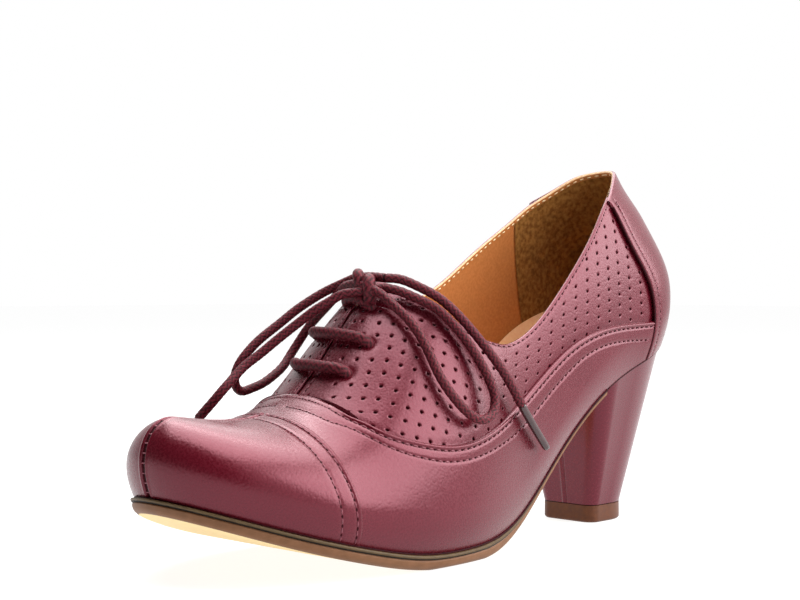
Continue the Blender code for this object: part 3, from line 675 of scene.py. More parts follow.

# %% [markdown]
# ## Loops and ends of the bow
# A loop leaves the knot and comes back to it, and an end hangs free with a film rolled round its tip. A
# simulated cord would hang by itself, but not as it hangs in the photo, so each is a smooth curve through
# a row of places. They are the rows of the imported solids.

# %% Loops and ends of the bow
RIGHT_LOOP = ((145.2, 10.2, 86.2), (143.2, 14.4, 85.2), (140.2, 19.4, 82.9), (136.4, 24.4, 79.7),
              (133.4, 28.4, 75.2), (130.2, 31.9, 69.5), (127.2, 34.8, 63.0), (124.8, 37.0, 56.6),
              (124.0, 38.5, 51.2), (126.2, 39.6, 46.8), (130.8, 39.9, 44.9), (135.8, 39.4, 46.4),
              (139.4, 38.2, 49.6), (142.2, 36.4, 53.6), (144.2, 33.8, 58.6), (145.0, 30.2, 65.2),
              (145.4, 26.2, 71.3), (146.2, 21.6, 76.4), (147.2, 16.4, 80.6), (148.0, 11.4, 84.2))
RIGHT_END = ((143.1, 8.4, 89.3), (140.8, 12.2, 89.0), (138.2, 17.4, 86.9), (134.5, 22.6, 83.6),
             (130.4, 27.6, 78.2), (125.8, 31.8, 71.2), (121.0, 34.6, 64.4), (115.4, 36.0, 57.2),
             (111.2, 36.3, 51.6), (108.4, 36.0, 48.3))
RIGHT_AGLET = ((108.2, 35.9, 48.0), (101.4, 35.3, 40.6), (93.8, 34.4, 33.0))
LEFT_LOOP = ((144.4, -5.9, 89.1), (146.2, -10.5, 87.1), (148.9, -14.6, 84.8), (152.7, -17.6, 81.9),
             (156.8, -20.2, 78.6), (161.3, -22.5, 74.6), (166.0, -24.3, 70.9), (169.3, -25.5, 68.0),
             (172.4, -26.3, 64.8), (174.7, -27.1, 61.6), (175.7, -28.1, 57.8), (174.6, -29.1, 54.3),
             (172.1, -29.4, 52.5), (168.9, -29.0, 53.0), (164.5, -28.3, 54.5), (159.5, -28.3, 57.0),
             (154.5, -28.9, 60.1), (150.8, -29.5, 63.7), (148.0, -28.9, 67.6), (146.2, -26.5, 72.1),
             (145.4, -22.9, 75.9), (145.4, -17.9, 79.6), (146.4, -11.1, 83.9), (147.9, -5.8, 86.6))
LEFT_END = ((152.0, 2.1, 84.6), (153.9, 0.2, 84.2), (156.3, -2.9, 82.2), (159.4, -6.5, 79.4),
            (162.4, -10.2, 75.9), (165.8, -13.5, 72.2), (169.5, -16.4, 68.4), (173.5, -19.0, 64.5),
            (178.1, -20.7, 60.9), (182.0, -21.0, 57.5), (186.3, -21.6, 53.4), (188.7, -24.0, 49.4),
            (189.9, -26.5, 46.5), (190.3, -28.3, 44.7))
LEFT_AGLET = ((190.4, -28.7, 44.3), (191.6, -33.2, 38.4), (192.6, -36.1, 30.6))
AGLET_DIAMETER = 2.7
AGLET_STEP = 0.6
AGLET_TAPER = ((0, 0.04, 0.96, 1), (0.90, 1.0, 0.97, 0.86))     # part of its length, part of its width
PATH_STEP = 1.0


def aglet(name, route, replaced):
    """Film end of the lace: a plain tube, a little narrower at its tip"""
    work = bmesh.new()
    points = along_route(route, AGLET_STEP)
    taper = np.interp(np.linspace(0, 1, len(points)), *AGLET_TAPER)
    tube(work, points, AGLET_DIAMETER / 2 * taper, around=20)
    return piece(name, work, [film], "aglet_plastic", replaced)


def free_cord(name, route, replaced):
    """Free stretch of lace"""
    made = lace(name, route, LACE_DIAMETER, replaced)
    points = to_frame(along_route(route, PATH_STEP))


right_aglet = aglet("aglet_film_right", RIGHT_AGLET, "aglet_right")
left_aglet = aglet("aglet_film_left", LEFT_AGLET, "aglet_left")
free_cord("bow_end_right", RIGHT_END, "lace_end_right")
free_cord("bow_end_left", LEFT_END, "lace_end_left")

# %% [markdown]
# ## Knot
# The knot of a bow shows as one thick wrap of lace over the two loops, with a shorter wrap beside it.
# Every strand inside it could be traced, but most of them are hidden, so each wrap is an arc of a ring,
# and three short strands run through it from one side of the bow to the other.

# %% Knot
TO_VIEW = np.array((0.711, 0.703, 0.0))     # out of the shoe over the outer toe
ACROSS_VIEW = np.array((-0.703, 0.711, 0.0))
UPWARD = np.array((0.0, 0.0, 1.0))
# Thickness of each wrap, its middle, half height, half depth, lean, first and last angle in degrees
WRAPS = ((4.0, (147.1, 5.1, 85.2), 3.7, 3.2, -0.05, -110, 200),
         (3.6, (147.9, 0.9, 88.9), 1.8, 2.2, -0.15, -70, 210))


def wrap_route(middle, half_height, half_depth, lean, first, last):
    """Arc of lace round the strands of the knot"""
    angle = np.radians(np.linspace(first, last, 40))[:, None]
    rise = np.sin(angle) * half_height
    depth = np.cos(angle) * half_depth
    return np.array(middle) + rise * (UPWARD + lean * ACROSS_VIEW) + depth * TO_VIEW


work = bmesh.new()
for thick, *wrap in WRAPS:
    braided(work, wrap_route(*wrap), thick)
KNOT_STRANDS = ((LEFT_LOOP[0], (143.4, -1.6, 89.7), (143.2, 4.0, 89.7), RIGHT_END[0]),
                (LEFT_END[0], (149.6, 4.6, 85.2), (147.4, 7.4, 85.9), RIGHT_LOOP[0]),
                (LEFT_LOOP[-1], (149.0, -0.4, 87.4), (149.2, 6.0, 86.6), RIGHT_LOOP[-1]))
for strand in KNOT_STRANDS:
    braided(work, strand, LACE_DIAMETER)
knot = piece("bow_knot", work, [cotton], "waxed_cotton", "lace_knot")
free_cord("bow_loop_right", RIGHT_LOOP, "lace_loop_right")
free_cord("bow_loop_left", LEFT_LOOP, "lace_loop_left")

# %% [markdown]
# ## Quarters
# The quarters are the two sides of the upper, cut from perforated leather and folded over at the collar
# and along the slit. The holes could be a bump in the material, but each is a millimetre wide and shows
# from close by, so they are pressed into the grid: four faces round a corner are drawn to a ring, inset
# for the rim and inset again, downwards, for the hole.

# %% Edges of the quarters
UPPER_FACE = -1.2       # outside of the quarters, from the last's surface
WALL = 1.6              # leather and lining
FOLD = 0.8              # radius of the fold at the collar
SLIT_FOLD = 0.5         # radius of the fold along the slit
# Places along the foot and heights: edge of the collar, and how much higher it is on the inner side
COLLAR = ((13, 132.0), (24, 129.4), (31, 125.2), (42, 116.6), (50, 108.0), (63, 95.0), (77, 82.5),
          (89, 73.8), (101, 68.8), (107, 68.0), (117, 69.8), (125, 73.0), (134, 82.0), (141, 84.2),
          (147, 83.6))
INNER_RAISE = ((24, 0.0), (36, -0.2), (45.5, 2.7), (55.5, 6.8), (66.3, 10.8), (77, 13.5), (91, 14.6),
               (105, 13.2), (120, 9.0), (130, 4.7), (141, 0.2), (147, 0.0))
# Top edge of the wing panel: place along the foot, share of the section's height
WING_EDGE = ((20, 0.166), (37, 0.216), (50, 0.256), (70, 0.314), (88, 0.345), (105, 0.358), (118, 0.359),
             (130, 0.366), (142, 0.397), (152, 0.462), (162, 0.580), (168, 0.702), (171.5, 0.806),
             (173.6, 0.895), (174.8, 1.0))
# Front edge of the back stay: height over the feather edge, place along the foot
STAY_EDGE = ((0, 23.0), (15, 20.8), (28, 23.0), (45, 32.0), (62, 39.5), (70, 43.0))
THROAT = 147.0          # where the collar ends and the facings begin
SLIT_HALF = 1.3         # half the gap between the facings
SLIT_START = 139.5
SLIT_END = 176.5
QUARTER_FRONT = 179.5
WING_REAR = 20.5        # rear end of the wing's stitched edge
LINE_READS = 3000
LINE_POINTS = 280
OPENING_POINTS = 260
collar = spline(COLLAR)
inner_raise = spline(INNER_RAISE)
wing_edge = spline(WING_EDGE)
stay_edge = spline(STAY_EDGE)


def stay_front(share):
    """Place along the foot of the back stay's front edge"""
    x = np.full_like(share, STAY_EDGE[0][1])
    for _ in range(PASSES):
        x = stay_edge(share * (ridge(x) - feather(x)))
    return x


def above_collar(station, share, side, drop=0.0):
    """Whether a place is in the opening for the foot, drop below its edge"""
    point = place(station, share, side)
    x = point[..., 0]
    raised = np.where((side < 0) & (x > INNER_RAISE[0][0]), inner_raise(x), 0.0)
    return (x < THROAT) & (point[..., 2] > collar(x) + raised - drop)


def in_slit(station, share, side, margin):
    """Whether a place is between the facings, or within a margin of the gap"""
    point = place(station, share, side)
    x = point[..., 0]
    return (x > SLIT_START) & (x < SLIT_END) & (np.abs(point[..., 1]) < SLIT_HALF + margin)


def opening_line(side):
    """Edge of the collar and the slit, from the middle of the back to the front of the slit"""
    stations = np.linspace(0, float(station_at(np.array(SLIT_END), np.array(1.0))), OPENING_POINTS)

    def beyond(station, share):
        return above_collar(station, share, side) | in_slit(station, share, side, 0.0)

    shares = edge_share(lambda share: stations, beyond, len(stations))
    return np.column_stack([along(stations, shares), np.arcsin(shares)])


def wing_line(rear=WING_REAR):
    """Top edge of the wing panel, from a place at its rear to the ridge"""
    x = np.linspace(rear, WING_EDGE[-1][0], LINE_READS)
    return even(np.column_stack([x, np.arcsin(np.clip(wing_edge(x), 0, 1))]), LINE_POINTS)


print("collar lowest at", min(height for _, height in COLLAR), "mm, slit", SLIT_END - THROAT, "mm long")

# %% Eyelets
# Eyelets of each lace bar: outer and inner place along the foot, distance from the middle, its crossing
EYELETS = ((148.3, 147.3, 7.0, 148.2), (156.2, 153.6, 14.6, 158.4), (165.0, 163.3, 13.6, 166.9))


def eyelet_spot(x, away, side, lift):
    """Place over an eyelet at a distance from the middle line, and the way out of it"""
    def column(share):
        return station_at(np.full(1, x), share)

    def beyond(station, share):
        return side * place(station, share, side)[..., 1] < away

    share = edge_share(column, beyond, 1)
    return lifted(column(share), share, side, lift)[0], normal(column(share), share, side)[0]


def eyelet_points(side):
    """Middles of the eyelets on one side"""
    return np.array([eyelet_spot(outer if side > 0 else inner, away, side, 0.0)[0]
                     for outer, inner, away, _ in EYELETS])


print("eyelets on each side:", len(eyelet_points(1)))

# %% Places of the holes
# Lattice of the holes: number of the column, place at height 60, lean of the column
LATTICE = ((-4, 168.3, 0.94), (-3, 166.6, 0.80), (-2, 164.6, 0.73), (-1, 162.0, 0.70), (0, 158.7, 0.67),
           (3, 145.5, 0.56), (6, 129.3, 0.47), (9, 109.6, 0.34), (12, 90.2, 0.22), (16, 62.8, 0.125),
           (20, 34.4, 0.02), (23, 13.5, 0.0))
LATTICE_HEIGHT = 60.0
HOLE_TOP = 75.7
HOLE_STEP = 3.8
# How much lower each column starts than the one before it: ahead of column 0, behind it, more at the rear
HOLE_SHIFT = (0.2, 1.45, 0.2)
REAR_COLUMN = 8
HOLE_ROWS = np.arange(22, -14, -1)
HOLE_TO_EDGE = 2.2          # clear of the collar and the slit
HOLE_TO_SEAM = 1.2          # clear of the stay and the middle
HOLE_TO_EYELET = 2.7
UNDER_WING = 0.01           # share of the height by which the first holes lie under the wing's edge
AT_RIDGE = 0.999


def hole_spots(side, edge):
    """Places of the holes on one quarter, clear of its edges and eyelets"""
    number, spot, lean = zip(*LATTICE)
    column_place = spline(list(zip(number, spot)))
    column_lean = spline(list(zip(number, lean)))
    eyelets = eyelet_points(side)
    spots = []
    for column in range(LATTICE[0][0], LATTICE[-1][0] + 1):
        shift = HOLE_SHIFT[0] * -column if column < 0 else -HOLE_SHIFT[1] * column
        shift = shift - HOLE_SHIFT[2] * max(column - REAR_COLUMN, 0)
        z = HOLE_TOP + shift + HOLE_STEP * HOLE_ROWS
        x = column_place(column) + column_lean(column) * (LATTICE_HEIGHT - z)
        share = (z - feather(x)) / (ridge(x) - feather(x))
        inside = (share > wing_edge(x) - UNDER_WING) & (share < AT_RIDGE)
        x, share = x[inside], share[inside]
        station = station_at(x, share)
        keep = ~above_collar(station, share, side) & ~in_slit(station, share, side, HOLE_TO_SEAM)
        keep &= (x > stay_front(share) + HOLE_TO_SEAM) & (x < QUARTER_FRONT)
        spots.append(np.column_stack([station, share])[keep])
    spots = np.vstack(spots)
    points = place(spots[:, 0], spots[:, 1], side)
    clear = distance(points, edge) > HOLE_TO_EDGE
    clear &= np.linalg.norm(points[:, None] - eyelets, axis=2).min(axis=1) > HOLE_TO_EYELET
    return spots[clear]


print("columns of holes:", LATTICE[-1][0] - LATTICE[0][0] + 1)

# %% Perforated quarters
HOLE_RING = 0.90            # half width of a hole with its rim
RIM = 0.32
RIM_DEPTH = 0.10
HOLE_WALL = 0.08            # how far a hole narrows
HOLE_DEPTH = 0.9
ROUND_A_CORNER = 4          # faces of a grid that meet in a point
OPENING_ROW_IN = 0.95       # stitch row beside the collar and the slit
OPENING_VALLEY = (0.24, 0.4)    # depth and half width of the valley along that row
BESIDE_WING = (0.15, 1.2)
ROUND_EYELET = (0.7, 2.0)
UNDER_STAY = 3.0            # length of the quarter that the stay covers
BELOW_WING = 0.05           # share of the height that the wing covers
FACING_SHARE = 0.98         # height at which a column counts as collar or facing
QUARTER_GRID = (190, 70)


def punch(work, made, spots, side, face):
    """Press the holes into a grid"""
    tree = kdtree.KDTree(len(made))
    for i, vert in enumerate(made):
        tree.insert(vert.co, i)
    tree.balance()
    centres = to_frame(lifted(spots[:, 0], spots[:, 1], side, face(place(spots[:, 0], spots[:, 1], side))))
    outs = normal(spots[:, 0], spots[:, 1], side)
    holes = []
    for centre, out in zip(centres, outs):
        corner = made[tree.find(centre)[1]]
        if len(corner.link_faces) < ROUND_A_CORNER or any(face in holes for face in corner.link_faces):
            continue
        old = corner.co.copy()
        ring = {vert for near in corner.link_faces for vert in near.verts} - {corner}
        for vert in ring:
            way = vert.co - old
            way = (way - Vector(out) * way.dot(Vector(out))).normalized()
            vert.co = Vector(centre) + way * HOLE_RING * MM
        corner.co = centre
        holes.extend(corner.link_faces)
    bmesh.ops.inset_region(work, faces=holes, thickness=RIM * MM, depth=-RIM_DEPTH * MM, use_even_offset=True)
    walls = bmesh.ops.inset_region(work, faces=holes, thickness=HOLE_WALL * MM,
                                   depth=-HOLE_DEPTH * MM)["faces"]
    # The wall and the bottom of each hole take the second finish, a painted shade
    for hole in holes + walls:
        hole.material_index = 1
    return len(holes) // ROUND_A_CORNER


def quarter(name, side):
    """One side of the upper, from under the back stay to the front of the slit"""
    wing = on_last(wing_line(), side)
    opening = on_last(opening_line(side), side)
    eyelets = eyelet_points(side)

    def column(spread, share):
        rear = stay_front(share) - UNDER_STAY
        return rear + spread * (QUARTER_FRONT - rear)

    def beyond(station, share):
        return above_collar(station, share, side, FOLD) | in_slit(station, share, side, SLIT_FOLD)

    def below(station, share):
        return share > wing_edge(along(station, share)) - BELOW_WING

    def face(points):
        lift = UPPER_FACE + trough(distance(points, opening) - OPENING_ROW_IN, *OPENING_VALLEY)
        lift = lift + trough(distance(points, wing), *BESIDE_WING)
        for eyelet in eyelets:
            lift = lift + trough(np.linalg.norm(points - eyelet, axis=1), *ROUND_EYELET)
        return lift

    def shape(across, up):
        spread = np.unique(np.round(across, DIGITS))
        facing = column(spread, np.full(len(spread), FACING_SHARE)) >= THROAT
        return panel(across, up, side, column, beyond, face, below, np.where(facing, SLIT_FOLD, FOLD))

    work = bmesh.new()
    made = sheet(work, *QUARTER_GRID, shape, side > 0)
    holes = punch(work, made, hole_spots(side, opening), side, face)
    print(name, "has", holes, "holes")
    return smoothed(piece(name, work, [burgundy, hole_shade], "burgundy_leather", "upper"))


quarter("quarter_outer", 1)
quarter("quarter_inner", -1)

# %% [markdown]
# ## Wing panel
# The wing panel runs low round the shoe from one side of the heel to the other and is sewn over the
# quarters with two rows of stitches. Its top edge is turned in, so it is round and stands proud, and each
# row draws a small valley in the leather. A roll could be laid along the edge as a piece of its own, but
# as heights of one grid the edge and the valleys can't come apart.

# %% Wing panel
CAP_EDGE_LOW = 181.3        # rear edge of the toe cap at the sole
CAP_EDGE_HIGH = 186.0       # and over the toe
UNDERLAP = 3.0              # how far the panel runs on under the toe cap and the stay
WING_END = 17.5             # rear end of the panel's top edge, under the stay
WING_ROW_IN = 1.9           # first row of stitches below the edge
WING_DROP = (1.25, 0.9)     # how far the edge rounds off, and over which width
WING_SWELL = (0.18, 0.95, 0.5)  # height, distance from the edge and half width of the roll inside it
FIRST_VALLEY = (0.25, 0.5)
ROW_VALLEY = (0.22, 0.55)
CROWDING = 1.7              # rows of the grid crowd towards the edge
WING_GRID = (240, 76)
TOP_POINTS = 400
CAP_POINTS = 90
# Second row of stitches: place along the foot, share of the section's height
WING_SECOND = ((23.3, 0.092), (43.7, 0.167), (56.2, 0.210), (65.3, 0.235), (74.2, 0.250), (86.4, 0.269),
               (96.1, 0.278), (119.7, 0.298), (131.5, 0.310), (141.3, 0.333), (149.8, 0.375),
               (157.4, 0.441), (164.0, 0.528), (171.6, 0.694), (177.1, 0.848), (179.5, 0.928),
               (180.5, 0.999))


def swell(away, height, middle, width):
    """Soft roll in the leather at a distance from its edge"""
    return height * np.exp(-((away - middle) / width) ** 2)


def cap_edge(share):
    """Place along the foot of the toe cap's rear edge"""
    return CAP_EDGE_LOW + (CAP_EDGE_HIGH - CAP_EDGE_LOW) * share


def wing_second_line():
    """Second row of stitches on the wing panel"""
    x = np.linspace(WING_SECOND[0][0], WING_SECOND[-1][0], LINE_READS)
    return even(np.column_stack([x, np.arcsin(np.clip(spline(WING_SECOND)(x), 0, 1))]), LINE_POINTS)


def cap_line():
    """Rear edge of the toe cap, from the feather edge to the ridge"""
    turn = np.linspace(0.01, math.pi / 2, CAP_POINTS)
    return np.column_stack([cap_edge(np.sin(turn)), turn])


def wing_half(work, side):
    """One half of the wing panel"""
    edge = on_last(wing_line(), side)
    first = on_last(beside(wing_line(), side, -WING_ROW_IN), side)
    second = on_last(wing_second_line(), side)
    top = even(np.vstack([wing_line(WING_END), (CAP_EDGE_HIGH + UNDERLAP, math.pi / 2)]), TOP_POINTS)
    rear = STAY_EDGE[0][1] - UNDERLAP

    def face(points):
        away = distance(points, edge)
        lift = edge_drop(away, *WING_DROP) + swell(away, *WING_SWELL)
        lift = lift + trough(distance(points, first), *FIRST_VALLEY)
        return lift + trough(distance(points, second), *ROW_VALLEY)

    def shape(across, up):
        high, turn = (np.interp(across, np.linspace(0, 1, len(top)), top[:, axis]) for axis in (0, 1))
        part = 1 - (1 - up) ** CROWDING
        share = np.sin(turn * part)
        low = rear + across * (CAP_EDGE_LOW + UNDERLAP - rear)
        station = station_at(low + part * (high - low), share)
        return lifted(station, share, side, face(place(station, share, side)))

    sheet(work, *WING_GRID, shape, side > 0)


halves(wing_half, "wing_leather", [burgundy], "burgundy_leather", "wing_panel")

# %% [markdown]
# ## Toe cap
# Two halves meet in a seam over the toe. Each is a sheet from the rear edge, which laps over the wing
# panel, to the seam, where the leather turns down into a groove. One sheet with a groove drawn on it
# would be simpler, but two sheets leave a real gap, and a tube in it stands for the leather's turned
# edge, painted nearly black as the shade deep in the groove.

# %% Toe cap
OVERLAP_FACE = 0.3          # outside of the cap and the stay, from the last's surface
CAP_ROWS_IN = (1.8, 6.8)    # stitch rows ahead of the cap's rear edge
CAP_DROP = (0.55, 0.7)
CAP_SWELL = (0.12, 0.9, 0.5)
SEAM_GAP = 0.7              # half the groove at the toe's seam
SEAM_DROP = (1.1, 0.8)
SEAM_SWELL = (0.22, 1.3, 0.5)
# The turned edge in the groove is a tube in painted shade
SEAM_TUBE = (-0.95, 0.9)    # lift and radius of the turned edge in the groove
CAP_GRID = (110, 90)
OVER_TOE, DOWN_TOE = 80, 60     # points of the seam over the toe and down its front
SEAM_FOOT = 0.02            # turn at which the seam ends, just over the sole


def cap_half(name, side, replaced):
    """One half of the toe cap"""
    edge = on_last(cap_line(), side)
    rows = [on_last(beside(cap_line(), side, -row), side) for row in CAP_ROWS_IN]

    def face(points):
        away = distance(points, edge)
        seam = np.abs(points[:, 1])
        lift = OVERLAP_FACE + edge_drop(away, *CAP_DROP) + swell(away, *CAP_SWELL)
        lift = lift + edge_drop(np.maximum(seam - SEAM_GAP, 0), *SEAM_DROP) + swell(seam, *SEAM_SWELL)
        for row in rows:
            lift = lift + trough(distance(points, row), *ROW_VALLEY)
        return lift

    def shape(across, up):
        share = np.sin(np.sin(up * math.pi / 2) * math.pi / 2)
        spread = 0.5 - 0.5 * np.cos(across * math.pi)
        rear = station_at(cap_edge(share), share)
        station = rear + (3 - rear) * spread
        points = lifted(station, share, side, face(place(station, share, side)))
        points[:, 1] = side * np.maximum(side * points[:, 1], SEAM_GAP)
        return points

    work = bmesh.new()
    sheet(work, *CAP_GRID, shape, side > 0)
    piece(name, work, [burgundy], "burgundy_leather", replaced)


cap_half("cap_leather_outer", 1, "toe_cap_outer")
cap_half("cap_leather_inner", -1, "toe_cap_inner")


def toe_seam_points(lift):
    """Line of the seam in the middle of the toe cap, from its rear edge over the toe to the feather edge"""
    rear = float(station_at(np.array(CAP_EDGE_HIGH), np.array(1.0)))
    turns = np.linspace(math.pi / 2, SEAM_FOOT, DOWN_TOE)
    over = lifted(np.linspace(rear, 3, OVER_TOE), np.ones(OVER_TOE), 1, np.full(OVER_TOE, lift))
    down = lifted(np.full(DOWN_TOE, 3.0), np.sin(turns), 1, np.full(DOWN_TOE, lift))
    points = np.vstack([over, down[1:]])
    points[:, 1] = 0.0
    return points


work = bmesh.new()
tube(work, toe_seam_points(SEAM_TUBE[0]), SEAM_TUBE[1], around=10)
piece("toe_seam", work, [seam_shade], "burgundy_leather", "toe_cap_outer")

# %% [markdown]
# ## Back stay
# A strip of leather covers the back seam and narrows towards the sole, and at the top it folds over the
# collar like the quarters beside it. A thin dark tube along its front edges is painted shade in the seam.
# A strip could be bent round the heel with a modifier, but as a panel of the last it lies on the quarters
# at every height.

# %% Back stay
STAY_SHARES = (0.002, 0.93, 160)    # heights at which its edge is read
STAY_ROW_IN = 3.4           # stitch row behind the edge
STAY_DROP = (0.9, 0.9)
STAY_VALLEY = (0.15, 0.5)
STAY_THINS = (112.0, 14.0)  # height from which it thins down to the collar's fold, and over which
# The dark tube along the stay's front edge is painted shade in the seam
SEAM_SHADE_TUBE = (-0.2, 0.5)       # lift and radius of the dark binding
STAY_GRID = (44, 80)


def stay_line(side):
    """Front edge of the back stay, from the feather edge to the collar"""
    share = np.linspace(*STAY_SHARES)
    x = stay_front(share)
    below = ~above_collar(station_at(x, share), share, side, FOLD)
    return np.column_stack([x, np.arcsin(share)])[below]


def stay_half(work, side):
    """One half of the back stay"""
    edge = on_last(stay_line(side), side)
    row = on_last(beside(stay_line(side), side, STAY_ROW_IN), side)

    def column(spread, share):
        station = spread * station_at(stay_front(share), share)
        return along(station, share)

    def beyond(station, share):
        return above_collar(station, share, side, FOLD)

    def face(points):
        lift = OVERLAP_FACE + edge_drop(distance(points, edge), *STAY_DROP)
        top = np.clip((points[:, 2] - STAY_THINS[0]) / STAY_THINS[1], 0, 1)
        lift = lift - (OVERLAP_FACE - UPPER_FACE) * top ** 2 * (3 - 2 * top)
        return lift + trough(distance(points, row), *STAY_VALLEY)

    def shape(across, up):
        return panel(np.sin(across * math.pi / 2), up, side, column, beyond, face, None, FOLD)

    sheet(work, *STAY_GRID, shape, side > 0)


def seam_shade_half(work, side):
    """Painted shade: a dark tube in the seam along one front edge, ending short of the collar"""
    tube(work, on_last(stay_line(side)[:-3], side, SEAM_SHADE_TUBE[0]), SEAM_SHADE_TUBE[1], around=10)


halves(stay_half, "stay_leather", [burgundy], "burgundy_leather", "back_stay")
halves(seam_shade_half, "stay_seam_shade", [seam_shade], "burgundy_leather", "back_stay")

# %% [markdown]
# ## Lining
# The lining is smooth tan leather. It meets the folded edge of the upper at the top of the collar, where
# its pale edge shows, and a brown suede grip is glued in round the heel. Thickening the quarters would
# give a lining too, but with their holes in it, so it is a sheet of its own inside them.

# %% Lining and heel grip
LINING_FACE = UPPER_FACE - WALL
LINING_SET_BACK = 4.0       # from the facings' edge
EDGE_FROM = 0.90            # part of the lining's height from which its fold is painted pale
GRIP_FRONT = (40.0, 0.25)   # place along the foot at height GRIP_HEIGHT, and its lean
GRIP_HEIGHT = 71.5
GRIP_BELOW = 2.0            # below the collar's edge
GRIP_IN = 0.35              # inside the lining
GRIP_CROWDING = 1.6         # columns crowd towards the middle of the back
LINING_TURN = 1.39          # angle of the lining's fold at the collar
LINING_GRID = (150, 80)
GRIP_GRID = (60, 50)


def lining_half(work, side):
    """One half of the lining, from the insole to the collar, the slit or the ridge"""
    def column(spread, share):
        return along(spread * 3, share)

    def beyond(station, share):
        return above_collar(station, share, side, FOLD) | in_slit(station, share, side, LINING_SET_BACK)

    def face(points):
        return np.full(len(points), LINING_FACE)

    def shape(across, up):
        return panel(across, up, side, column, beyond, face, None, FOLD, LINING_TURN, True)

    sheet(work, *LINING_GRID, shape, side < 0, lambda up: int(up > EDGE_FROM))


def grip_half(work, side):
    """One half of the heel grip, a little inside the lining"""
    def column(spread, share):
        rear = along(np.zeros_like(share), share)
        front = np.full_like(share, GRIP_FRONT[0])
        for _ in range(PASSES):
            height = feather(front) + share * (ridge(front) - feather(front))
            front = GRIP_FRONT[0] + GRIP_FRONT[1] * (height - GRIP_HEIGHT)
        return rear + spread ** GRIP_CROWDING * (front - rear)

    def beyond(station, share):
        return above_collar(station, share, side, GRIP_BELOW)

    def face(points):
        return np.full(len(points), LINING_FACE - GRIP_IN)

    def shape(across, up):
        return panel(across, up, side, column, beyond, face)

    sheet(work, *GRIP_GRID, shape, side < 0)


halves(lining_half, "lining_leather", [tan_lining, edge_paint], "tan_lining", "upper")
halves(grip_half, "heel_grip", [suede], "tan_lining", "upper")

# %% [markdown]
# ## Tongue
# The tongue is a strip of leather that fills the slit from below, where the lace presses its middle up.
# A single sheet could stand for it, but both of its faces show at the throat, so the sheet gets its
# thickness from the solidify operator.

# %% Tongue
TONGUE_FACE = LINING_FACE - 0.35    # just inside the lining
TONGUE_THICK = 1.4
TONGUE_SPAN = (139.5, 181.0)
TONGUE_SHARE = 0.86                 # height of its sides on the section
TONGUE_RIDGE = (2.4, 1.3)           # half width and height of the part pressed up into the slit
TONGUE_GRID = (50, 24)


def tongue_half(work, side):
    """One half of the tongue"""
    def shape(across, up):
        share = np.sin(math.asin(TONGUE_SHARE) + up * (math.pi / 2 - math.asin(TONGUE_SHARE)))
        x = TONGUE_SPAN[0] + across * (TONGUE_SPAN[1] - TONGUE_SPAN[0])
        aside = place(station_at(x, share), share, side)[:, 1] / TONGUE_RIDGE[0]
        return lifted(station_at(x, share), share, side, TONGUE_FACE + TONGUE_RIDGE[1] * np.exp(-aside ** 2))

    sheet(work, *TONGUE_GRID, shape, side > 0)


work = bmesh.new()
tongue_half(work, 1)
tongue_half(work, -1)
bmesh.ops.remove_doubles(work, verts=work.verts[:], dist=MERGE)
bmesh.ops.solidify(work, geom=work.faces[:], thickness=TONGUE_THICK * MM)
piece("tongue_leather", work, [burgundy], "burgundy_leather", "tongue")

# %% [markdown]
# ## Insole
# A sock of sheepskin covers the floor of the shoe and is moulded up the wall round the heel. A flat sheet
# alone would leave a sharp corner at the wall, so a second sheet follows the wall up to the sock's rim.

# %% Insole
INSOLE_CLEAR = LINING_FACE - 0.4
INSOLE_TOP = 2.2            # over the feather edge
SOCK_THICK = 0.6            # how far the rim stands off the wall
SOCK_FADE = 4.0             # height over which it thins out
SOCK_RUN = 1.75             # station at which the rim ends
RIM_GRID = (110, 14)
FLOOR_GRID = (140, 24)
# How far the moulded sock rises up the wall: place along the foot, height over the feather edge
SOCK_RIM = ((0, 16.0), (50, 18.8), (75, 13.6), (100, 9.0), (125, 4.6), (150, 2.6))
sock_height = spline(SOCK_RIM)


def sock_rim(work, side):
    """Edge of the sock that is moulded up the wall round the heel"""
    def column(spread, share):
        return along(spread * SOCK_RUN, share)

    def beyond(station, share):
        point = place(station, share, side)
        return point[..., 2] > feather(point[..., 0]) + sock_height(point[..., 0])

    def face(points):
        under = feather(points[:, 0]) + sock_height(points[:, 0]) - points[:, 2]
        return INSOLE_CLEAR - SOCK_THICK * np.clip(under / SOCK_FADE, 0, 1)

    def shape(across, up):
        return panel(across, up, side, column, beyond, face)

    sheet(work, *RIM_GRID, shape, side < 0)


def foot_half(station, side, reach):
    """Points of the foot's outline on one side, at a reach beyond the last"""
    return lifted(station, np.zeros_like(station), side, reach)


def floor_half(work, side, first, lift, reach, flip):
    """Half of a sheet under the foot, from a first station to the toe, at a height above the feather edge"""
    def shape(across, up):
        station = first + (3 - first) * across
        edge = foot_half(station, side, reach(along(station, np.zeros_like(station))))
        edge[:, 1] = edge[:, 1] * up
        edge[:, 2] = lift(edge[:, 0])
        return edge

    sheet(work, *FLOOR_GRID, shape, flip)


work = bmesh.new()
for side in (1, -1):
    floor_half(work, side, 0.0, lambda x: feather(x) + INSOLE_TOP,
               lambda x: np.full_like(x, INSOLE_CLEAR), side < 0)
for side in (1, -1):
    sock_rim(work, side)
piece("sock", work, [sock], "tan_lining", "insole")

# %% [markdown]
# ## Sole
# The sole is one moulding: a thin lip under the upper, a groove, a brown edge that draws in, and a cream
# face underneath. Its edge is a profile carried round the outline of the last. A profile swept along a
# curve would do it too, but it would tilt where the sole bends up at the arch and the toe; here it stays
# upright, and each band of the profile gets its own finish.

# %% Sole
SOLE_THICKNESS = ((40, 1.5), (75, 2.0), (100, 3.3), (115, 4.6), (135, 4.8), (160, 4.7), (200, 4.4),
                  (231, 4.2))
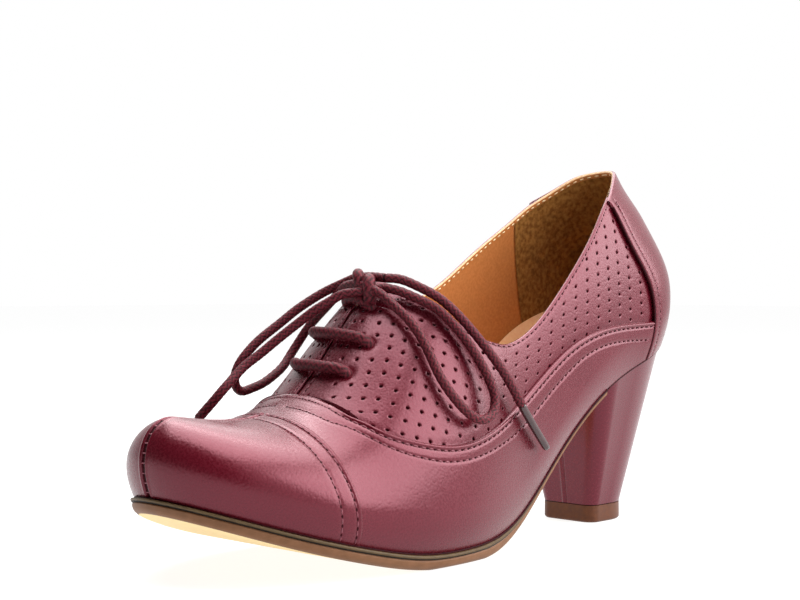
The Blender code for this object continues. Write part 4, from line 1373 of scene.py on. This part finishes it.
# Profile from the top down: reach beyond the last, share of the thickness
SOLE_EDGE = ((0.1, 0.0), (1.0, 0.01), (1.35, 0.05), (1.5, 0.12), (1.4, 0.2), (0.9, 0.25), (0.6, 0.30),
             (0.9, 0.35), (1.1, 0.42), (1.0, 0.55), (0.75, 0.72), (0.3, 0.86), (-0.4, 0.96), (-1.0, 1.0))
GROOVE = (4.6, 6.6)     # points of the profile between which the groove lies
SOLE_REACH = ((40, 0.1), (100, 0.4), (140, 0.9), (231, 1.0))     # how much of that reach along the foot
BREAST = 47.5           # front of the heel
BREAST_GAP = 0.6        # between the heel and the sole
SOLE_GAP = 0.3          # between the upper and the sole
SOLE_FACE_IN = 0.95     # how far the face underneath draws in
SOLE_GRID = (190, 52)
# The dark line is painted shade in the joint between the upper and the sole
FEATHER_SEAM = (0.15, -0.1, 0.4)    # reach, lift and radius of the dark line over the sole
SEAM_POINTS = 300
sole_thickness = spline(SOLE_THICKNESS)
sole_reach = spline(SOLE_REACH)
sole_start = float(station_at(np.array(BREAST + BREAST_GAP), np.array(0.0)))


def sole_height(x, drop):
    """Height of the sole's side at a share of its thickness"""
    top = feather(x) - SOLE_GAP
    return top - drop * np.minimum(sole_thickness(x), top)


def sole_finish_at(up):
    """Finish of the edge from its bottom up: brown edge, painted shade in the groove, olive lip"""
    down = (1 - up) * (len(SOLE_EDGE) - 1)
    return 2 if down < GROOVE[0] else 1 if down < GROOVE[1] else 0


def sole_side(work, side):
    """Half of the sole's edge"""
    reach, drop = np.array(SOLE_EDGE).T
    steps = np.linspace(0, 1, len(reach))

    def shape(across, up):
        station = sole_start + (3 - sole_start) * across
        scale = sole_reach(along(station, np.zeros_like(station)))
        point = foot_half(station, side, np.interp(1 - up, steps, reach) * scale)
        point[:, 2] = sole_height(point[:, 0], np.interp(1 - up, steps, drop))
        point[:, 1] = np.where(across >= 1, 0, point[:, 1])
        return point

    sheet(work, *SOLE_GRID, shape, side > 0, sole_finish_at)


def sole_bottom(work, side):
    """Half of the face underneath"""
    floor_half(work, side, sole_start, lambda x: sole_height(x, 1.0),
               lambda x: -SOLE_FACE_IN * sole_reach(x), side > 0)


def feather_seam(work, side):
    """Painted shade: a dark tube in the joint where the upper meets the sole"""
    reach, lift, radius = FEATHER_SEAM
    line = foot_half(np.linspace(sole_start, 3, SEAM_POINTS), side, np.full(SEAM_POINTS, reach))
    line[:, 2] = feather(line[:, 0]) + lift
    tube(work, line, radius, around=8)


halves(sole_side, "sole_edge", [sole_edge_finish, groove_shade_finish, lip_finish], "brown_sole", "outsole")
halves(sole_bottom, "sole_face", [sole_face_finish], "brown_sole", "outsole")
halves(feather_seam, "feather_seam", [seam_shade], "brown_sole", "outsole")

# %% [markdown]
# ## Heel
# The heel is a block covered in the same leather, with the wrap's seam down the middle of its breast. The
# outline at the seat and the smaller one at the tip are joined by rows of a grid bent round the heel. Two
# loops of edges could be bridged instead, but the rows let the seam be pressed in all the way down.

# %% Outlines of the heel
HEEL_TIP_FRONT = 42.0
HEEL_TIP_BACK = 17.2
HEEL_TIP_HALF = 12.3
HEEL_TIP_HEIGHT = 6.2
HEEL_CORNER = 8.0       # rounding of the breast's corners at the seat
PANEL_BACK = -0.7       # the seat lies in from the last's surface
CORNER_POINTS, FLANK_POINTS, BREAST_POINTS = 12, 60, 20
HEEL_COLUMNS = 240


def heel_outline():
    """Outline of the heel at its tip and at the seat, from the breast round the outer side and back"""
    bend = np.linspace(0, math.pi / 2, CORNER_POINTS)
    stations = station_at(np.array(BREAST - HEEL_CORNER), np.array(0.0)) * np.linspace(1, 0, FLANK_POINTS)
    seats = []
    for side in (1, -1):
        flanks = lifted(stations, np.zeros_like(stations), side, np.full_like(stations, PANEL_BACK))[:, :2]
        flanks[-1, 1] = 0.0
        half = abs(flanks[0, 1]) - HEEL_CORNER
        corner = np.column_stack([flanks[0, 0] + HEEL_CORNER * np.cos(bend),
                                  side * (half + HEEL_CORNER * np.sin(bend))])
        breast = np.column_stack([np.full(BREAST_POINTS, corner[0, 0]),
                                  side * np.linspace(0, half, BREAST_POINTS)])
        seats.append(np.vstack([breast[:-1], corner[:-1], flanks]))
    seat = np.vstack([seats[0], seats[1][-2::-1]])
    length = np.concatenate([[0], np.cumsum(np.linalg.norm(np.diff(seat, axis=0), axis=1))])
    reads = np.linspace(0, length[-1], HEEL_COLUMNS + 1)
    seat = np.column_stack([np.interp(reads, length, seat[:, axis]) for axis in (0, 1)])
    back, front = seat[:, 0].min(), seat[:, 0].max()
    tip_x = HEEL_TIP_BACK + (seat[:, 0] - back) / (front - back) * (HEEL_TIP_FRONT - HEEL_TIP_BACK)
    tip = np.column_stack([tip_x, seat[:, 1] * HEEL_TIP_HALF / np.abs(seat[:, 1]).max()])
    return tip, seat


TIP, SEAT = heel_outline()
print("heel seat:", round(float(np.ptp(SEAT[:, 0])), 1), "by", round(float(np.ptp(SEAT[:, 1])), 1), "mm")

# %% Heel and heel tip
HEEL_ENDS = 0.03        # part of the rows that close each end of the heel
TIP_ENDS = 0.06
HEEL_GAP = 0.3          # between the heel and its neighbours
WRAP_GROOVE = (0.25, 0.55, 0.35)    # place across, depth and half width of the wrap's seam
WRAP_LAP = (0.3, -0.7, 0.5)         # height, place across and half width of the lap beside it
BREAST_FROM = 35.0      # what lies ahead of this place is breast
TIP_SHRINK = 0.05       # how much the tip's edge is rounded at the floor
TIP_ROUND = 0.9         # height over which it is
TIP_CROWDING = 1.6      # rows crowd towards the floor
HEEL_ROWS, TIP_ROWS = 40, 18
SHARP = math.radians(50)
# The dark line at the seat is painted shade in the joint
SEAT_SEAM = (-0.25, 0.45)   # reach and radius of the dark line at the seat
SEAT_POINTS = 90


def drawn_in(outline, up):
    """Outline whose first and last row close to a point"""
    middle = np.array([(HEEL_TIP_FRONT + HEEL_TIP_BACK) / 2, 0.0])
    return np.where(((up <= 0) | (up >= 1))[:, None], middle, outline)


def heel_shape(across, up):
    """Point on the wrapped side of the heel"""
    i = np.round(across * (len(TIP) - 1)).astype(int)
    rise = np.clip((up - HEEL_ENDS) / (1 - 2 * HEEL_ENDS), 0, 1)
    outline = TIP[i] + rise[:, None] * (SEAT[i] - TIP[i])
    seam = trough(outline[:, 1] - WRAP_GROOVE[0], *WRAP_GROOVE[1:]) + swell(outline[:, 1], *WRAP_LAP)
    outline[:, 0] = outline[:, 0] + seam * (outline[:, 0] > BREAST_FROM)
    top = feather(SEAT[i][:, 0]) - HEEL_GAP
    bottom = HEEL_TIP_HEIGHT + HEEL_GAP
    return np.column_stack([drawn_in(outline, up), bottom + rise * (top - bottom)])


def tip_shape(across, up):
    """Point on the side of the heel tip, rounded at the floor"""
    i = np.round(across * (len(TIP) - 1)).astype(int)
    middle = np.array([(HEEL_TIP_FRONT + HEEL_TIP_BACK) / 2, 0.0])
    height = HEEL_TIP_HEIGHT * np.clip((up - TIP_ENDS) / (1 - 2 * TIP_ENDS), 0, 1) ** TIP_CROWDING
    shrink = 1 - TIP_SHRINK * np.clip(1 - height / TIP_ROUND, 0, 1) ** 2
    outline = middle + (TIP[i] - middle) * shrink[:, None]
    return np.column_stack([drawn_in(outline, up), height])


def closed(work):
    """Bmesh with its seam and poles merged and its faces pointing out"""
    bmesh.ops.remove_doubles(work, verts=work.verts[:], dist=MERGE)
    bmesh.ops.recalc_face_normals(work, faces=work.faces[:])
    return work


def seat_seam(work, side):
    """Painted shade: a dark tube where the heel meets the upper"""
    stations = np.linspace(0.0, float(station_at(np.array(BREAST), np.array(0.0))), SEAT_POINTS)
    tube(work, foot_half(stations, side, np.full(SEAT_POINTS, SEAT_SEAM[0])), SEAT_SEAM[1], around=8)


work = bmesh.new()
sheet(work, HEEL_COLUMNS, HEEL_ROWS, heel_shape, False)
heel = piece("heel_wrap", closed(work), [wrapped], "burgundy_leather", "heel")
work = bmesh.new()
sheet(work, HEEL_COLUMNS, TIP_ROWS, tip_shape, False)
tip = piece("heel_top_piece", closed(work), [tip_finish], "brown_sole", "heel_tip")
for made in (heel, tip):
    made.data.set_sharp_from_angle(angle=SHARP)
halves(seat_seam, "seat_seam", [seam_shade], "burgundy_leather", "heel")

# %% [markdown]
# ## Lace bars
# Between the eyelets the lace lies across the slit, bowed a little, and at each end it dives into the
# leather. A bar could be a straight cord, but it would float over the rounded instep, so its route goes
# through points that are lifted off the last, and it is drawn thicker than the lace, as the pull flattens it.

# %% Lace bars
BAR_DIAMETER = 3.6
BAR_CLEAR = 0.5             # between the bars and the facings
BAR_LIFT = UPPER_FACE + BAR_DIAMETER / 2 + BAR_CLEAR
BAR_SUNK = 2.4              # depth at which a bar starts, in its eyelet
BAR_RISE = (1.0, 1.4)       # height over the eyelet, and way towards the slit, of its bend
BAR_NEXT = 1.5              # the next point is at least this far on
# From an eyelet to the slit: height on the section, part of the way to the crossing
BAR_PATH = ((0.96, 0.5), (0.985, 0.8), (1.0, 1.0))


def bar_route(outer, inner, away, crossing):
    """Route of one bar from inside one eyelet over the slit to inside the other"""
    shares, parts = np.array(BAR_PATH).T
    route = []
    for x, side in ((outer, 1), (inner, -1)):
        places = x + parts * (crossing - x)
        over = lifted(station_at(places, shares), shares, side, np.full(len(shares), BAR_LIFT))
        sunk = eyelet_spot(x, away, side, UPPER_FACE - BAR_SUNK)[0]
        rise = eyelet_spot(x, away, side, UPPER_FACE + BAR_RISE[0])[0] + (0, -side * BAR_RISE[1], 0)
        half = [sunk, rise, *over[side * over[:, 1] < side * rise[1] - BAR_NEXT]]
        route = route + half if side > 0 else route + half[-2::-1]
    return route


for count, eyelets in enumerate(EYELETS, 1):
    lace(f"lace_crossing_{count}", bar_route(*eyelets), BAR_DIAMETER, f"lace_bar_{count}")

# %% [markdown]
# ## Stitches
# Every panel is held by rows of stitches. A stitch is a short bead of thread half sunk in the leather,
# and between two stitches the needle's hole shows dark. An array along a curve could lay them out, but it
# would not turn them with the leather, so each gets a place, a way along the row and a way out of the
# leather. Beads of one kind are joined in one mesh.

# %% Stitches
STITCH = 2.9        # from needle hole to needle hole
# Half sizes along the row, across it and out of the leather
BEAD = Matrix.Diagonal((0.92, 0.28, 0.24, 1.0))
HOLE = Matrix.Diagonal((0.58, 0.36, 0.16, 1.0))
BRIDGE = Matrix.Diagonal((0.26, 1.05, 0.26, 1.0))     # thread across the toe's seam
BEAD_ROUND = (6, 5)     # segments of a bead round and from end to end


def beads(points, outs, offset, size):
    """Matrices of small beads along points, one for each stitch"""
    length = np.concatenate([[0], np.cumsum(np.linalg.norm(np.diff(points, axis=0), axis=1))])
    ahead = np.gradient(points, axis=0)
    made = []
    for read in np.arange(STITCH / 2 + offset, length[-1], STITCH):
        spot, way, out = (np.array([np.interp(read, length, rows[:, axis]) for axis in range(3)])
                          for rows in (points, ahead, outs))
        way = Vector(way).normalized()
        out = Vector(out)
        out = (out - way * out.dot(way)).normalized()
        turn = Matrix((way, out.cross(way), out)).transposed().to_4x4()
        made.append(Matrix.Translation(to_frame(spot)) @ turn @ Matrix.Scale(MM, 4) @ size)
    return made


def bead_piece(name, matrices, finish, slot):
    """One mesh of many beads: a single round bead, repeated at every matrix"""
    work = bmesh.new()
    bmesh.ops.create_uvsphere(work, u_segments=BEAD_ROUND[0], v_segments=BEAD_ROUND[1], radius=1.0)
    bead = bpy.data.meshes.new("bead")
    work.to_mesh(bead)
    work.clear()
    for matrix in matrices:
        work.from_mesh(bead)
        work.verts.ensure_lookup_table()
        for vert in work.verts[-len(bead.vertices):]:
            vert.co = matrix @ vert.co
    bpy.data.meshes.remove(bead)
    return piece(name, work, [finish], slot)


# %% Rows of stitches
ROW_DEPTH = 0.2         # valley of a row
STAY_ROW_LIFT = 0.10
THREAD_LIFT = 0.05
PIT_LIFT = 0.03
LINING_ROW_IN = 1.3
LINING_THREAD_LIFT = -0.02
BRIDGE_LIFT = -0.05
OPENING_FROM = 30       # first point of the opening's line that isn't under the stay
LINING_FROM, LINING_TO = 4, 200
threads, pits, lining_threads = [], [], []
for side in (1, -1):
    rows = [(beside(wing_line(), side, -WING_ROW_IN), -ROW_DEPTH),
            (wing_second_line(), -ROW_DEPTH),
            (beside(stay_line(side)[:-2], side, STAY_ROW_IN), STAY_ROW_LIFT),
            (beside(opening_line(side)[OPENING_FROM:], side, -OPENING_ROW_IN), UPPER_FACE - ROW_DEPTH)]
    rows = rows + [(beside(cap_line(), side, -row), OVERLAP_FACE - ROW_DEPTH) for row in CAP_ROWS_IN]
    for line, lift in rows:
        outs = out_of(line, side)
        threads = threads + beads(on_last(line, side, lift + THREAD_LIFT), outs, 0.0, BEAD)
        pits = pits + beads(on_last(line, side, lift + PIT_LIFT), outs, STITCH / 2, HOLE)
    line = beside(opening_line(side)[LINING_FROM:LINING_TO], side, -LINING_ROW_IN)
    points = on_last(line, side, LINING_FACE + LINING_THREAD_LIFT)
    lining_threads = lining_threads + beads(points, out_of(line, side), 0.0, BEAD)
seam = toe_seam_points(BRIDGE_LIFT)
threads = threads + beads(seam, toe_seam_points(1.0) - seam, 0.0, BRIDGE)
bead_piece("stitches", threads, thread, "burgundy_leather")
# The needle holes are dark beads on the leather: painted shade, not real holes
bead_piece("needle_holes", pits, needle_shade, "burgundy_leather")
bead_piece("lining_stitches", lining_threads, cream_thread, "tan_lining")

# %% [markdown]
# ## Floor
# Shoes for a catalogue are often set on a sheet of white acrylic that is lit from below, so that the
# ground goes white with only a faint shadow. A white floor under strong lights would burn out the leather
# as well, so the floor gives off some light of its own.

# %% Floor
FLOOR_HALF = 6.0        # metres
FLOOR_GLOW = 0.84
work = bmesh.new()
bmesh.ops.create_grid(work, x_segments=2, y_segments=2, size=FLOOR_HALF)
floor_mesh = bpy.data.meshes.new("floor")
work.to_mesh(floor_mesh)
work.free()
floor = bpy.data.objects.new("floor", floor_mesh)
bpy.context.scene.collection.objects.link(floor)
# Acrylic, cast and frosted: plain white without reflections
acrylic, tree, shader, spot = finish_tree("white_backlit_acrylic")
shader.inputs["Base Color"].default_value = linear("#848484")
shader.inputs["Roughness"].default_value = 0.8
shader.inputs["Specular IOR Level"].default_value = 0.0
shader.inputs["Emission Color"].default_value = linear("#FFFFFF")
shader.inputs["Emission Strength"].default_value = FLOOR_GLOW
floor_mesh.materials.append(acrylic)
print("floor:", 2 * FLOOR_HALF, "m wide")

# %% [markdown]
# ## Light
# Polished leather shows what stands round it. The studio is white, for broad soft highlights, except ahead
# of the toe, where a dark part draws the deep red band along the toe cap. Three softboxes add the light
# from above, from the heel's outer side and from behind. A ready-made picture of a studio could light the
# scene too, but these can be moved one by one until the highlights lie where they do in the photo.

# %% Studio
DARK_MIDDLE = (0.94, 0.0, 0.342)    # direction of the dark part
DARK_EDGE = (0.34, 0.52)            # how it fades in, as cosines from that direction
DARK_LEVEL = 0.06
world = bpy.data.worlds.new("studio")
world.use_nodes = True
tree = world.node_tree
way = node(tree, "TexCoord").outputs["Generated"]
toward = node(tree, "VectorMath", {0: way, 1: DARK_MIDDLE}, operation="DOT_PRODUCT").outputs["Value"]
level = node(tree, "MapRange", {"Value": toward, "From Min": DARK_EDGE[0], "From Max": DARK_EDGE[1],
                                "To Min": 1.0, "To Max": DARK_LEVEL})
tree.links.new(level.outputs[0], tree.nodes["Background"].inputs["Strength"])
tree.nodes["Background"].inputs["Color"].default_value = linear("#FFFFFF")
bpy.context.scene.world = world
bpy.context.scene.view_settings.view_transform = "Standard"
print("studio: white, dark ahead of the toe")


# %% Softboxes
def softbox(name, spot, aim, size, power):
    """Large soft light at a place, aimed at a place, in metres"""
    light = bpy.data.lights.new(name, "AREA")
    light.shape = "RECTANGLE"
    light.size, light.size_y = size
    light.energy = power
    made = bpy.data.objects.new(name, light)
    bpy.context.scene.collection.objects.link(made)
    made.location = spot
    made.rotation_euler = (Vector(aim) - Vector(spot)).to_track_quat("-Z", "Y").to_euler()
    print("softbox", name, power, "W")


softbox("overhead", (-0.10, -0.05, 1.15), (0, 0, 0.05), (1.2, 1.2), 23)
softbox("right_side", (-0.50, 0.59, 0.51), (0, 0, 0.06), (1.0, 0.72), 11)
softbox("back", (-0.60, -0.60, 0.95), (0, 0, 0.05), (1.2, 0.8), 8)
